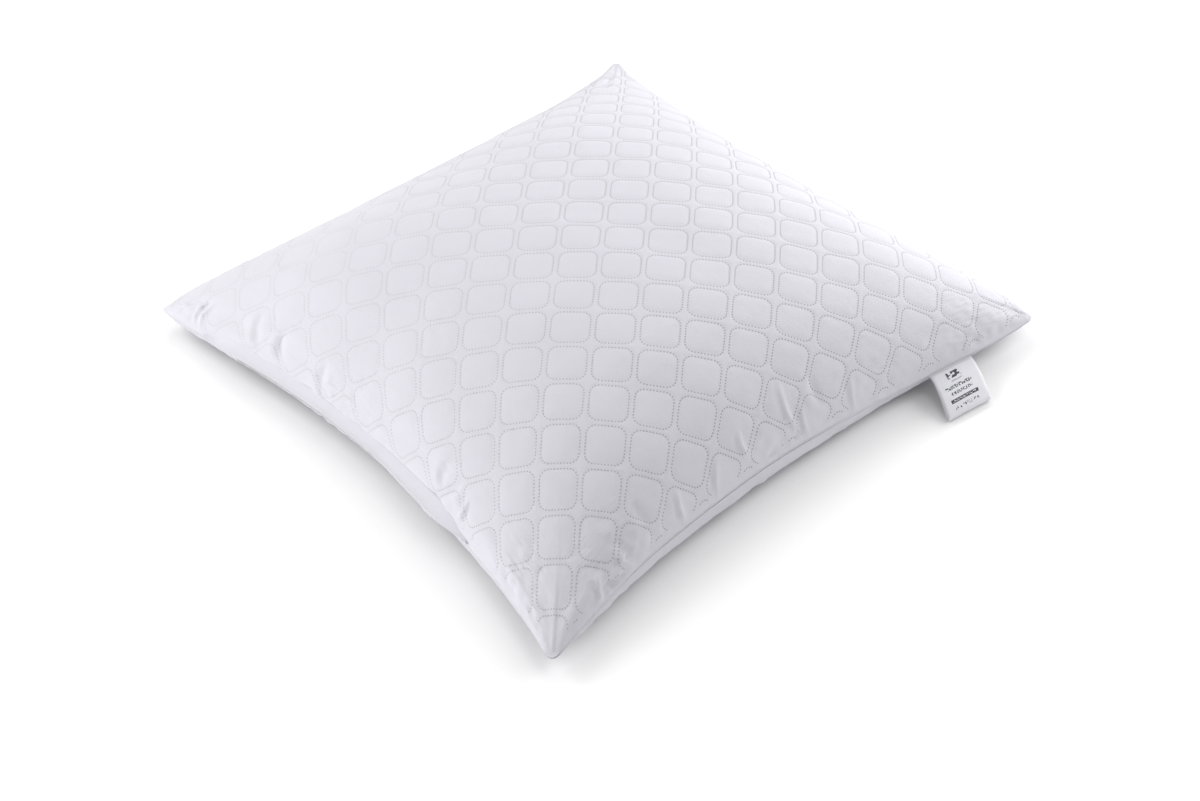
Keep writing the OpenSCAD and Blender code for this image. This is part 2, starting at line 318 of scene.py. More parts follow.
@dataclass(frozen=True)
class QuiltFabric(Finish):
    """Brushed white microfibre, flatter along the welded lines and darker there with painted groove shade."""

    color: tuple[float, float, float] = (0.765, 0.752, 0.815)
    # the colour of the random clouding and of the painted shade along the welded grooves
    shade: tuple[float, float, float] = (0.690, 0.682, 0.725)
    thread: float = 0.7 * MM
    panel_side: float = 0.700
    sheen: float = 0.25

    def material(self, name: str = "face_fabric") -> bpy.types.Material:
        """The fabric's material, which reads the flat UV map and the welded-line number."""
        mat, bench, shader = self.start(name, self.color, 0.68, Sheen_Weight=self.sheen, Sheen_Roughness=0.45,
                                        Specular_IOR_Level=0.32)
        flat = bench.add("ShaderNodeUVMap", uv_map="flat").outputs["UV"]
        weld = bench.add("ShaderNodeAttribute", attribute_name="weld").outputs["Fac"]
        place = bench.add("ShaderNodeTexCoord").outputs["Object"]
        cloud = bench.add("ShaderNodeTexNoise", {"Vector": place, "Scale": 14.0, "Detail": 3.0}).outputs[0]
        mottle = bench.add("ShaderNodeTexNoise", {"Vector": place, "Scale": 420.0, "Detail": 2.0}).outputs[0]
        # painted shade along the welded grooves, plus random clouding and mottling
        tint = bench.math("MULTIPLY_ADD", weld, 0.10, bench.math("MULTIPLY", cloud, 0.10))
        factor = bench.math("ADD", tint, bench.math("MULTIPLY", mottle, 0.10))
        self.tinted(bench, shader, self.color, self.shade, factor)
        rough = bench.math("MULTIPLY_ADD", mottle, 0.16, 0.60)
        bench.tree.links.new(bench.math("MULTIPLY_ADD", weld, -0.14, rough), shader.inputs["Roughness"])
        threads = self.panel_side / self.thread
        split = bench.add("ShaderNodeSeparateXYZ", {0: flat})
        warp = bench.math("SINE", bench.math("MULTIPLY", split.outputs["X"], threads * math.tau))
        weft = bench.math("SINE", bench.math("MULTIPLY", split.outputs["Y"], threads * math.tau))
        weave = bench.math("MULTIPLY", warp, weft)
        crinkle = bench.add("ShaderNodeTexNoise",
                            {"Vector": place, "Scale": 95.0, "Detail": 4.0, "Roughness": 0.6}).outputs[0]
        self.bumped(bench, shader, [
            (crinkle, 1.6 * MM, 0.14), (mottle, 0.4 * MM, 0.30), (weave, 0.12 * MM, 0.35)])
        return mat


@dataclass(frozen=True)
class WeldedDot(Finish):
    """Fabric melted at a weld point, with painted shade in the middle of its pit, fading towards the left
    corner.
    """

    color: tuple[float, float, float] = (0.80, 0.79, 0.83)
    # painted shade: the dark colour that stands in for the shadow in each pit
    shade: tuple[float, float, float] = (0.20, 0.198, 0.215)

    def material(self) -> bpy.types.Material:
        """A harder, slightly glossy skin with fine mottling and the painted pit shade."""
        mat, bench, shader = self.start("weld_dot", self.color, 0.34, Specular_IOR_Level=0.5)
        place = bench.add("ShaderNodeTexCoord").outputs["Object"]
        grain = bench.add("ShaderNodeTexNoise", {"Vector": place, "Scale": 900.0, "Detail": 1.0}).outputs[0]
        pit = bench.add("ShaderNodeAttribute", attribute_name="pit").outputs["Fac"]
        split = bench.add("ShaderNodeSeparateXYZ", {0: place})
        across = bench.math("MULTIPLY_ADD", split.outputs["Y"], 1.2, split.outputs["X"])
        # the painted pit shade is weakened towards the left corner, down to 35 % of its strength there
        depth = bench.math("MINIMUM", 1.0, bench.math("MAXIMUM", 0.35, bench.math("ADD", across, 0.75)))
        factor = bench.math("MULTIPLY", bench.math("MULTIPLY_ADD", grain, 0.2, pit), depth)
        self.tinted(bench, shader, self.color, self.shade, factor)
        return mat


@dataclass(frozen=True)
class WovenCloth(Finish):
    """A plain or twill weave for tapes, thread, casings and the seam allowance."""

    name: str
    color: tuple[float, float, float] = (0.78, 0.775, 0.80)
    shade: tuple[float, float, float] = (0.66, 0.655, 0.68)
    thread: float = 0.5 * MM
    roughness: float = 0.72

    def material(self) -> bpy.types.Material:
        """Crossed threads on object coordinates, with a soft tint along them."""
        mat, bench, shader = self.start(self.name, self.color, self.roughness, Sheen_Weight=0.15)
        place = bench.add("ShaderNodeTexCoord").outputs["Object"]
        scale = math.tau / (self.thread * 2.0)
        split = bench.add("ShaderNodeSeparateXYZ", {0: bench.vector("SCALE", place)})
        split.inputs[0].links[0].from_node.inputs["Scale"].default_value = scale
        warp = bench.math("SINE", split.outputs["X"])
        weft = bench.math("SINE", split.outputs["Y"])
        weave = bench.math("MULTIPLY", warp, weft)
        cloud = bench.add("ShaderNodeTexNoise", {"Vector": place, "Scale": 60.0, "Detail": 3.0}).outputs[0]
        factor = bench.math("MULTIPLY_ADD", weave, 0.25, bench.math("MULTIPLY", cloud, 0.6))
        self.tinted(bench, shader, self.color, self.shade, factor)
        self.bumped(bench, shader, [(cloud, 0.8 * MM, 0.3), (weave, 0.15 * MM, 0.6)])
        return mat


@dataclass(frozen=True)
class LooseFibre(Finish):
    """Tangled white polyester fibre."""

    name: str
    color: tuple[float, float, float] = (0.86, 0.86, 0.85)
    shade: tuple[float, float, float] = (0.70, 0.70, 0.70)

    def material(self) -> bpy.types.Material:
        """Stretched noise that reads as strands."""
        mat, bench, shader = self.start(self.name, self.color, 0.85, Sheen_Weight=0.4)
        place = bench.add("ShaderNodeTexCoord").outputs["Object"]
        along = bench.add("ShaderNodeMapping", {"Vector": place, "Scale": (60.0, 700.0, 300.0)}).outputs[0]
        strand = bench.add("ShaderNodeTexNoise",
                           {"Vector": along, "Scale": 1.0, "Detail": 4.0, "Distortion": 1.5}).outputs[0]
        self.tinted(bench, shader, self.shade, self.color, strand)
        self.bumped(bench, shader, [(strand, 1.5 * MM, 0.6)])
        return mat


@dataclass(frozen=True)
class NylonCoil(Finish):
    """White moulded nylon with a soft gloss."""

    color: tuple[float, float, float] = (0.82, 0.82, 0.82)
    shade: tuple[float, float, float] = (0.72, 0.72, 0.73)

    def material(self) -> bpy.types.Material:
        """Nylon with faint mould variation."""
        mat, bench, shader = self.start("zip_coil", self.color, 0.35, Subsurface_Weight=0.0)
        place = bench.add("ShaderNodeTexCoord").outputs["Object"]
        grain = bench.add("ShaderNodeTexNoise", {"Vector": place, "Scale": 500.0, "Detail": 2.0}).outputs[0]
        self.tinted(bench, shader, self.color, self.shade, grain)
        self.bumped(bench, shader, [(grain, 0.1 * MM, 0.3)])
        return mat


@dataclass(frozen=True)
class EnamelMetal(Finish):
    """White enamel on die-cast metal, worn a little along its edges."""

    color: tuple[float, float, float] = (0.80, 0.80, 0.81)
    worn: tuple[float, float, float] = (0.55, 0.55, 0.57)

    def material(self) -> bpy.types.Material:
        """Enamel with fine scratches and rubbed patches."""
        mat, bench, shader = self.start("zip_metal", self.color, 0.32, Coat_Weight=0.3, Coat_Roughness=0.2)
        place = bench.add("ShaderNodeTexCoord").outputs["Object"]
        patch = bench.add("ShaderNodeTexNoise", {"Vector": place, "Scale": 260.0, "Detail": 5.0}).outputs[0]
        rubbed = bench.add("ShaderNodeValToRGB", {"Fac": patch})
        rubbed.color_ramp.elements[0].position = 0.58
        rubbed.color_ramp.elements[1].position = 0.74
        self.tinted(bench, shader, self.color, self.worn, rubbed.outputs[0])
        fine = {"Vector": place, "Scale": 1800.0, "Detail": 2.0}
        scratch = bench.add("ShaderNodeTexNoise", fine).outputs[0]
        bench.tree.links.new(bench.math("MULTIPLY_ADD", patch, 0.25, 0.22), shader.inputs["Roughness"])
        self.bumped(bench, shader, [(scratch, 0.05 * MM, 0.25)])
        return mat


@dataclass(frozen=True)
class PrintBox:
    """A printed field on the label, in shares of its width and of its upper leaf."""

    left: float
    right: float
    near: float
    far: float
    glyph: float = 0.0       # marks across the field, or 0 for a solid field
    cover: float = 0.5       # share of the field that the marks cover


@dataclass(frozen=True)
class SatinRibbon(Finish):
    """White satin ribbon with a plain print of unreadable marks."""

    color: tuple[float, float, float] = (0.90, 0.89, 0.94)
    ink: tuple[float, float, float] = (0.035, 0.035, 0.045)
    fields: tuple[PrintBox, ...] = ()
    knocked_out: tuple[PrintBox, ...] = ()

    def field_mask(self, bench: NodeBench, across: bpy.types.NodeSocket, along: bpy.types.NodeSocket,
                   box: PrintBox) -> bpy.types.NodeSocket:
        """One where the field is inked and zero elsewhere."""
        inside = bench.math("MULTIPLY", bench.math("GREATER_THAN", across, box.left),
                            bench.math("LESS_THAN", across, box.right))
        inside = bench.math("MULTIPLY", inside, bench.math("GREATER_THAN", along, box.near))
        inside = bench.math("MULTIPLY", inside, bench.math("LESS_THAN", along, box.far))
        if not box.glyph:
            return inside
        place = bench.add("ShaderNodeCombineXYZ", {
            0: bench.math("MULTIPLY", across, box.glyph),
            1: bench.math("MULTIPLY", along, 1.6 / (box.far - box.near))}).outputs[0]
        marks = bench.add("ShaderNodeTexNoise", {"Vector": place, "Scale": 1.0, "Detail": 1.0}).outputs[0]
        inked = bench.math("LESS_THAN", marks, 0.38 + 0.24 * box.cover)
        return bench.math("MULTIPLY", inside, inked)

    def material(self) -> bpy.types.Material:
        """Satin with a ribbed weave, ink fields and lighter marks within them."""
        mat, bench, shader = self.start("ribbon", self.color, 0.42, Sheen_Weight=0.2, Specular_IOR_Level=0.5)
        flat = bench.add("ShaderNodeUVMap", uv_map="flat").outputs["UV"]
        split = bench.add("ShaderNodeSeparateXYZ", {0: flat})
        across, along = split.outputs["X"], split.outputs["Y"]
        inked = None
        for box in self.fields:
            mask = self.field_mask(bench, across, along, box)
            inked = mask if inked is None else bench.math("MAXIMUM", inked, mask)
        for box in self.knocked_out:
            mask = self.field_mask(bench, across, along, box)
            inked = bench.math("MULTIPLY", inked, bench.math("SUBTRACT", 1.0, mask))
        self.tinted(bench, shader, self.color, self.ink, inked)
        rib = bench.math("SINE", bench.math("MULTIPLY", along, 900.0))
        thread = bench.math("SINE", bench.math("MULTIPLY", across, 700.0))
        self.bumped(bench, shader, [(rib, 0.06 * MM, 0.5), (thread, 0.04 * MM, 0.4)])
        return mat


# ---------------------------------------------------------------------------------------------
# The pillow's form
# ---------------------------------------------------------------------------------------------
@dataclass(frozen=True)
class PillowForm:
    """The sewn outline and the crowned form, on u and v from -1 to 1 across a panel."""

    side: float = 0.700
    crown_h: float = float(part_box("top_face")[1][2])
    seam_h: float = 0.024
    pull_front: float = 0.048
    pull_right: float = 0.038
    pull_back: float = 0.038
    pull_left: float = 0.048
    corner_draw: float = 0.020
    draw_power: float = 8.0
    ear_lift: float = 0.012
    ear_power: float = 6.0
    right_rise: float = 0.008
    right_draw: float = 0.004
    foot_share: float = 0.75
    fullness: float = 2.5
    edge_power: float = 0.62
    foot_gap: float = 0.0015
    corner_radius: float = 0.015
    corner_reach: float = 0.0045
    reach_power: float = 24.0

    @property
    def half(self) -> float:
        """Half of a side."""
        return self.side / 2.0

    @property
    def arc_radius(self) -> float:
        """The radius of the arc that the front edge follows."""
        return self.half ** 2 / (2.0 * self.pull_front)

    def shrink(self, u: Grid, v: Grid) -> Grid:
        """How far the two corners on the u = v diagonal draw in along each edge."""
        return self.corner_draw * np.clip(u * v, 0.0, None) ** self.draw_power

    def corner_shares(self, u: Grid, v: Grid) -> tuple[Grid, Grid]:
        """How far into a corner's square a point is along each side, from 0 to 1."""
        share = self.corner_radius / self.half
        return (np.clip((np.abs(u) - 1.0 + share) / share, 0.0, 1.0),
                np.clip((np.abs(v) - 1.0 + share) / share, 0.0, 1.0))

    def rounded(self, u: Grid, v: Grid) -> tuple[Grid, Grid]:
        """Draws parameters near a corner inward so that the outline turns there in an arc."""
        share = self.corner_radius / self.half
        s, t = self.corner_shares(u, v)
        across = np.where(s > 0, 1.0 - share + share * s * np.sqrt(1.0 - t * t / 2.0), np.abs(u))
        along = np.where(t > 0, 1.0 - share + share * t * np.sqrt(1.0 - s * s / 2.0), np.abs(v))
        return np.sign(u) * across, np.sign(v) * along

    def plan(self, u: Grid, v: Grid) -> tuple[Grid, Grid]:
        """The place in plan of a point of the panel."""
        pull_x = np.where(u > 0, self.pull_right, self.pull_left)
        pull_y = np.where(v > 0, self.pull_back, self.pull_front)
        drawn = self.shrink(u, v) - self.corner_reach * np.abs(u * v) ** self.reach_power
        x = u * (self.half - np.abs(u) * (1.0 - v * v) * pull_x - drawn)
        y = v * (self.half - np.abs(v) * (1.0 - u * u) * pull_y - drawn)
        return x - self.right_draw * self.right_share(u, v), y

    def right_share(self, u: Grid, v: Grid) -> Grid:
        """One at the middle of the right edge's near part, fading to nothing at the label and the corner."""
        return smooth_step(0.0, 1.0, u) * smooth_step(-1.0, -0.55, v) * (1.0 - smooth_step(-0.15, 0.52, v))

    def seam_z(self, u: Grid, v: Grid) -> Grid:
        """The seam's height, which rises at the far corner and along the right edge."""
        ear = self.ear_lift * np.clip((v - u) / 2.0, 0.0, None) ** self.ear_power
        return self.seam_h + ear + self.right_rise * self.right_share(u, v)

    def dome(self, face: Face, u: Grid, v: Grid) -> Grid:
        """The smooth form that the simulation starts from."""
        rise_u = np.clip(1.0 - np.abs(u) ** self.fullness, 0.0, None)
        rise_v = np.clip(1.0 - np.abs(v) ** self.fullness, 0.0, None)
        bulge = (rise_u * rise_v) ** self.edge_power
        x, y = self.plan(u, v)
        z = self.seam_z(u, v)
        if face is Face.UPPER:
            return np.stack([x, y, z + (self.crown_h - self.seam_h) * bulge], -1)
        resting = 1.0 - (1.0 - np.minimum(1.0, bulge / self.foot_share)) ** 2
        return np.stack([x, y, z * (1.0 - resting) + self.foot_gap * resting], -1)


def resampled(grid: Grid, u: Grid, v: Grid) -> Grid:
    """Reads a grid of values, evenly spaced from -1 to 1 both ways, at any parameters."""
    count = grid.shape[0] - 1
    x = np.clip((u + 1.0) / 2.0 * count, 0.0, count - 1e-9)
    y = np.clip((v + 1.0) / 2.0 * count, 0.0, count - 1e-9)
    i, j = np.floor(x).astype(int), np.floor(y).astype(int)
    fx, fy = (x - i)[..., None], (y - j)[..., None]
    near = grid[i, j] * (1.0 - fy) + grid[i, j + 1] * fy
    far = grid[i + 1, j] * (1.0 - fy) + grid[i + 1, j + 1] * fy
    return near * (1.0 - fx) + far * fx


def spline_weights(places: Grid, count: int) -> Grid:
    """Catmull-Rom weights of count evenly spaced values from -1 to 1.

    Args:
        places: Where the curve is read, from -1 to 1.
        count: How many values the curve passes through.

    Returns:
        One row of weights for each place.
    """
    x = (np.clip(places, -1.0, 1.0) + 1.0) / 2.0 * (count - 1)
    cell = np.clip(np.floor(x).astype(int), 0, count - 2)
    f = x - cell
    weights = np.zeros((len(x), count + 2))
    row = np.arange(len(x))
    for step, share in enumerate((
            -0.5 * f ** 3 + f ** 2 - 0.5 * f, 1.5 * f ** 3 - 2.5 * f ** 2 + 1.0,
            -1.5 * f ** 3 + 2.0 * f ** 2 + 0.5 * f, 0.5 * f ** 3 - 0.5 * f ** 2)):
        weights[row, cell + step] += share
    inner = weights[:, 1:-1].copy()
    inner[:, 0] += 2.0 * weights[:, 0]
    inner[:, 1] -= weights[:, 0]
    inner[:, -1] += 2.0 * weights[:, -1]
    inner[:, -2] -= weights[:, -1]
    return inner


@dataclass
class InflatedCover:
    """The cover's two panels, sewn along their drawn-in edges and pressed out by the filling."""

    form: PillowForm
    cells: int = 64
    frames: int = 30
    volume: float = 0.042
    stretch: float = 40.0
    shear: float = 10.0
    bending: float = 0.3
    calming: int = 6
    swell_at: float = 13.0 * MM
    swell: tuple[float, float, float, float] = (0.006, 0.010, 0.003, 0.003)
    far_swell: float = 0.011
    sheets: list[Grid] = field(default_factory=list)

    def make(self) -> None:
        """Inflates the panels, then calms them and swells the lower one's flanks."""
        axis = np.linspace(-1.0, 1.0, self.cells + 1)
        u, v = np.meshgrid(axis, axis, indexing="ij")
        domes = [self.form.dome(face, u, v) for face in Face]
        self.sheets = self.inflated(domes, u, v)
        self.sheets = [self.calmed(sheet, u, v) for sheet in self.sheets]
        self.sheets[Face.LOWER.value] = self.swollen(self.sheets[Face.LOWER.value], u, v)

    def calmed(self, sheet: Grid, u: Grid, v: Grid) -> Grid:
        """A panel with its small wrinkles smoothed away, except beside the seams."""
        edge = (1.0 - np.maximum(np.abs(u), np.abs(v))) * self.form.half
        share = 0.6 * smooth_step(0.012, 0.07, edge)[1:-1, 1:-1, None]
        for _ in range(self.calming):
            inner = sheet[1:-1, 1:-1]
            mean = (sheet[:-2, 1:-1] + sheet[2:, 1:-1] + sheet[1:-1, :-2] + sheet[1:-1, 2:]) / 4.0
            sheet = sheet.copy()
            sheet[1:-1, 1:-1] = inner + (mean - inner) * share
        return sheet

    def swollen(self, sheet: Grid, u: Grid, v: Grid) -> Grid:
        """The lower panel with its flanks pushed out under the seam by the filling."""
        half = self.form.half
        near_x, near_y = half * (1.0 - np.abs(u)), half * (1.0 - np.abs(v))
        front, right, back, left = self.swell
        left_size = left + self.far_swell * smooth_step(0.62, 0.85, v)
        right = 0.003 + (right - 0.003) * (1.0 - smooth_step(-0.05, 0.50, v))
        grown = []
        for near, other, size in ((near_x, near_y, np.where(u > 0, right, -left_size)),
                                  (near_y, near_x, np.where(v > 0, back, -front))):
            d = near / self.swell_at
            grown.append(size * d * np.exp(1.0 - d) * smooth_step(0.0, 0.040, other))
        return sheet + np.stack([grown[0], grown[1], np.zeros_like(u)], -1)

    def inflated(self, domes: list[Grid], u: Grid, v: Grid) -> list[Grid]:
        """Runs the cloth simulation.

        Args:
            domes: The two panels' starting points.
            u: The grid's first parameter.
            v: The grid's second parameter.

        Returns:
            The two panels' points after the last frame.
        """
        count = self.cells + 1
        upper = np.arange(count * count).reshape(count, count)
        inner = np.zeros((count, count), bool)
        inner[1:-1, 1:-1] = True
        lower = upper.copy()
        lower[inner] = count * count + np.arange(inner.sum())
        flat = np.stack([u * self.form.half, v * self.form.half, np.full_like(u, self.form.seam_h)], -1)
        points = np.concatenate([domes[0].reshape(-1, 3), domes[1][inner]])
        flat_points = np.concatenate([flat.reshape(-1, 3), flat[inner]])
        quads = [tuple(q) for q in np.stack(
            [upper[:-1, :-1], upper[1:, :-1], upper[1:, 1:], upper[:-1, 1:]], -1).reshape(-1, 4).tolist()]
        quads += [tuple(q) for q in np.stack(
            [lower[:-1, :-1], lower[:-1, 1:], lower[1:, 1:], lower[1:, :-1]], -1).reshape(-1, 4).tolist()]
        bag = new_mesh_object("inflating_bag", points, quads)
        seam = bag.vertex_groups.new(name="seam")
        seam.add([int(k) for k in upper[~inner]], 1.0, "REPLACE")
        bag.shape_key_add(name="Basis")
        cut = bag.shape_key_add(name="Flat")
        cut.data.foreach_set("co", flat_points.astype(np.float32).ravel())
        cut.value = 0.0
        table = new_mesh_object("inflating_table", np.array([[-2, -2, 0], [2, -2, 0], [2, 2, 0], [-2, 2, 0]]),
                                [(0, 1, 2, 3)])
        table.modifiers.new("solid", "COLLISION")
        table.collision.thickness_outer = 0.001
        table.collision.cloth_friction = 5.0
        self.cloth(bag, cut)
        scene = bpy.context.scene
        first, last = scene.frame_start, scene.frame_end
        scene.frame_start, scene.frame_end = 1, self.frames
        for step in range(1, self.frames + 1):
            scene.frame_set(step)
        graph = bpy.context.evaluated_depsgraph_get()
        shape = bag.evaluated_get(graph).to_mesh()
        place = np.zeros(len(shape.vertices) * 3, np.float32)
        shape.vertices.foreach_get("co", place)
        place = place.reshape(-1, 3).astype(float)
        bag.evaluated_get(graph).to_mesh_clear()
        scene.frame_set(1)
        scene.frame_start, scene.frame_end = first, last
        remove_object(bag)
        remove_object(table)
        return [place[upper], place[lower]]

    def cloth(self, bag: bpy.types.Object, cut: bpy.types.ShapeKey) -> None:
        """Adds the cloth modifier with its pressure, weight and pins."""
        cloth = bag.modifiers.new("cloth", "CLOTH")
        cloth.point_cache.frame_end = self.frames
        settings = cloth.settings
        settings.quality = 6
        settings.mass = 0.0002
        settings.tension_stiffness = settings.compression_stiffness = self.stretch
        settings.shear_stiffness = self.shear
        settings.bending_stiffness = self.bending
        settings.tension_damping = settings.compression_damping = settings.shear_damping = 5.0
        settings.bending_damping = 0.5
        settings.air_damping = 1.0
        settings.vertex_group_mass = "seam"
        settings.pin_stiffness = 50.0
        settings.rest_shape_key = cut
        settings.use_pressure = True
        settings.uniform_pressure_force = 0.0
        settings.use_pressure_volume = True
        settings.target_volume = self.volume
        settings.pressure_factor = 1.0
        cloth.collision_settings.distance_min = 0.001
        cloth.collision_settings.use_self_collision = False

    def surface(self, face: Face, us: Grid, vs: Grid) -> Grid:
        """A smooth grid of points on one panel at the given parameters."""
        sheet = self.sheets[face.value]
        count = sheet.shape[0]
        across, along = spline_weights(us, count), spline_weights(vs, count)
        return np.einsum("ai,ijk,bj->abk", across, sheet, along, optimize=True)

    def beneath(self, face: Face, us: Grid, vs: Grid, depth: float) -> Grid:
        """A grid of points at a depth below one panel, which never reaches the cover's middle."""
        outer = self.surface(face, us, vs)
        gap = (self.surface(face.other, us, vs) - outer) / 2.0
        size = np.maximum(np.linalg.norm(gap, axis=-1, keepdims=True), 1e-6)
        return outer + gap * (1.0 - np.exp(-depth / size))


# ---------------------------------------------------------------------------------------------
# The quilted panels
# ---------------------------------------------------------------------------------------------
@dataclass(frozen=True)
class QuiltLattice:
    """Rounded square cells on the diagonal, each outlined by its own welded line."""

    pitch: float = 0.04428
    gap: float = 0.0053
    corner: float = 0.0098
    turn: float = math.radians(45.35)
    origin: tuple[float, float] = (0.0795, -0.0561)
    puff: float = 1.0 * MM
    strip_puff: float = 0.55 * MM
    puff_reach: float = 6.5 * MM
    strip_reach: float = 2.2 * MM
    groove: float = 0.5 * MM

    def distance(self, x: Grid, y: Grid) -> Grid:
        """The distance from the nearest cell's outline, below zero inside the cell."""
        dx, dy = x - self.origin[0], y - self.origin[1]
        i = (dx * math.cos(self.turn) + dy * math.sin(self.turn)) / self.pitch
        j = (dx * math.sin(self.turn) - dy * math.cos(self.turn)) / self.pitch
        core = (self.pitch - self.gap) / 2.0 - self.corner
        a = np.abs(i - np.floor(i) - 0.5) * self.pitch - core
        b = np.abs(j - np.floor(j) - 0.5) * self.pitch - core
        beyond = np.hypot(np.maximum(a, 0.0), np.maximum(b, 0.0))
        return beyond + np.minimum(np.maximum(a, b), 0.0) - self.corner

    def relief(self, x: Grid, y: Grid) -> tuple[Grid, Grid]:
        """The panel's height over its mean surface, and how near a welded line is, from 0 to 1."""
        d = self.distance(x, y)
        away = np.sqrt(d * d + self.groove ** 2) - self.groove
        inside = self.puff * (1.0 - np.exp(-away / self.puff_reach))
        between = self.strip_puff * (1.0 - np.exp(-away / self.strip_reach))
        height = np.where(d < 0, inside, between)
        return height - 0.5 * self.puff, np.exp(-(d / (1.1 * MM)) ** 2)


@dataclass(frozen=True)
class Crease:
    """One soft fold in a panel, from start to end in flat metres from the panel's middle."""

    start: tuple[float, float]
    end: tuple[float, float]
    width: float = 0.006
    height: float = -1.5 * MM

    def relief(self, x: Grid, y: Grid) -> Grid:
        """The fold's height at each flat point."""
        a, b = np.array(self.start), np.array(self.end)
        span = b - a
        length = float(np.hypot(*span))
        along = ((x - a[0]) * span[0] + (y - a[1]) * span[1]) / length ** 2
        off = ((x - a[0]) * span[1] - (y - a[1]) * span[0]) / length
        bend = 0.12 * length * np.sin(np.clip(along, 0.0, 1.0) * math.pi)
        ends = smooth_step(-0.1, 0.35, along) * (1.0 - smooth_step(0.65, 1.1, along))
        t = (off - bend) / self.width
        return self.height * ends * (np.exp(-t * t) - 0.45 * np.exp(-((t - 1.6) / 1.3) ** 2))


@dataclass
class Wrinkles:
    """Puckers along the seams, folds from the corners, soft lumps of filling and single creases."""

    form: PillowForm
    seed: int
    creases: tuple[Crease, ...] = ()
    pucker: float = 1.3 * MM
    corner_fold: float = 1.6 * MM
    lump: float = 0.8 * MM

    def relief(self, x: Grid, y: Grid) -> Grid:
        """The wrinkles' height at each flat point."""
        half = self.form.half
        near_x, near_y = half - np.abs(x), half - np.abs(y)
        edge = np.minimum(near_x, near_y)
        along = np.where(near_x < near_y, y, x)
        side = np.where(near_x < near_y, np.sign(x) * 0.9, np.sign(y) * 2.1)
        strength = 0.5 + 0.5 * Waves(self.seed + 1, 0.10, 0.25)(along, side)
        folds = Waves(self.seed, 0.016, 0.045)(along + 0.15 * edge, side + edge * 6.0)
        fading = smooth_step(0.0, 0.010, edge) * np.exp(-edge / 0.030)
        height = self.pucker * np.clip(strength, 0.0, 1.4) * folds * fading
        corner = np.hypot(near_x, near_y)
        ray = np.arctan2(near_y, near_x)
        height += self.corner_fold * np.sin(ray * 9.0 + 3.0 * side) * np.exp(-corner / 0.055) * smooth_step(
            0.008, 0.035, corner)
        height += self.lump * Waves(self.seed + 2, 0.09, 0.24)(x, y) * smooth_step(0.01, 0.12, edge)
        for crease in self.creases:
            height += crease.relief(x, y)
        return height


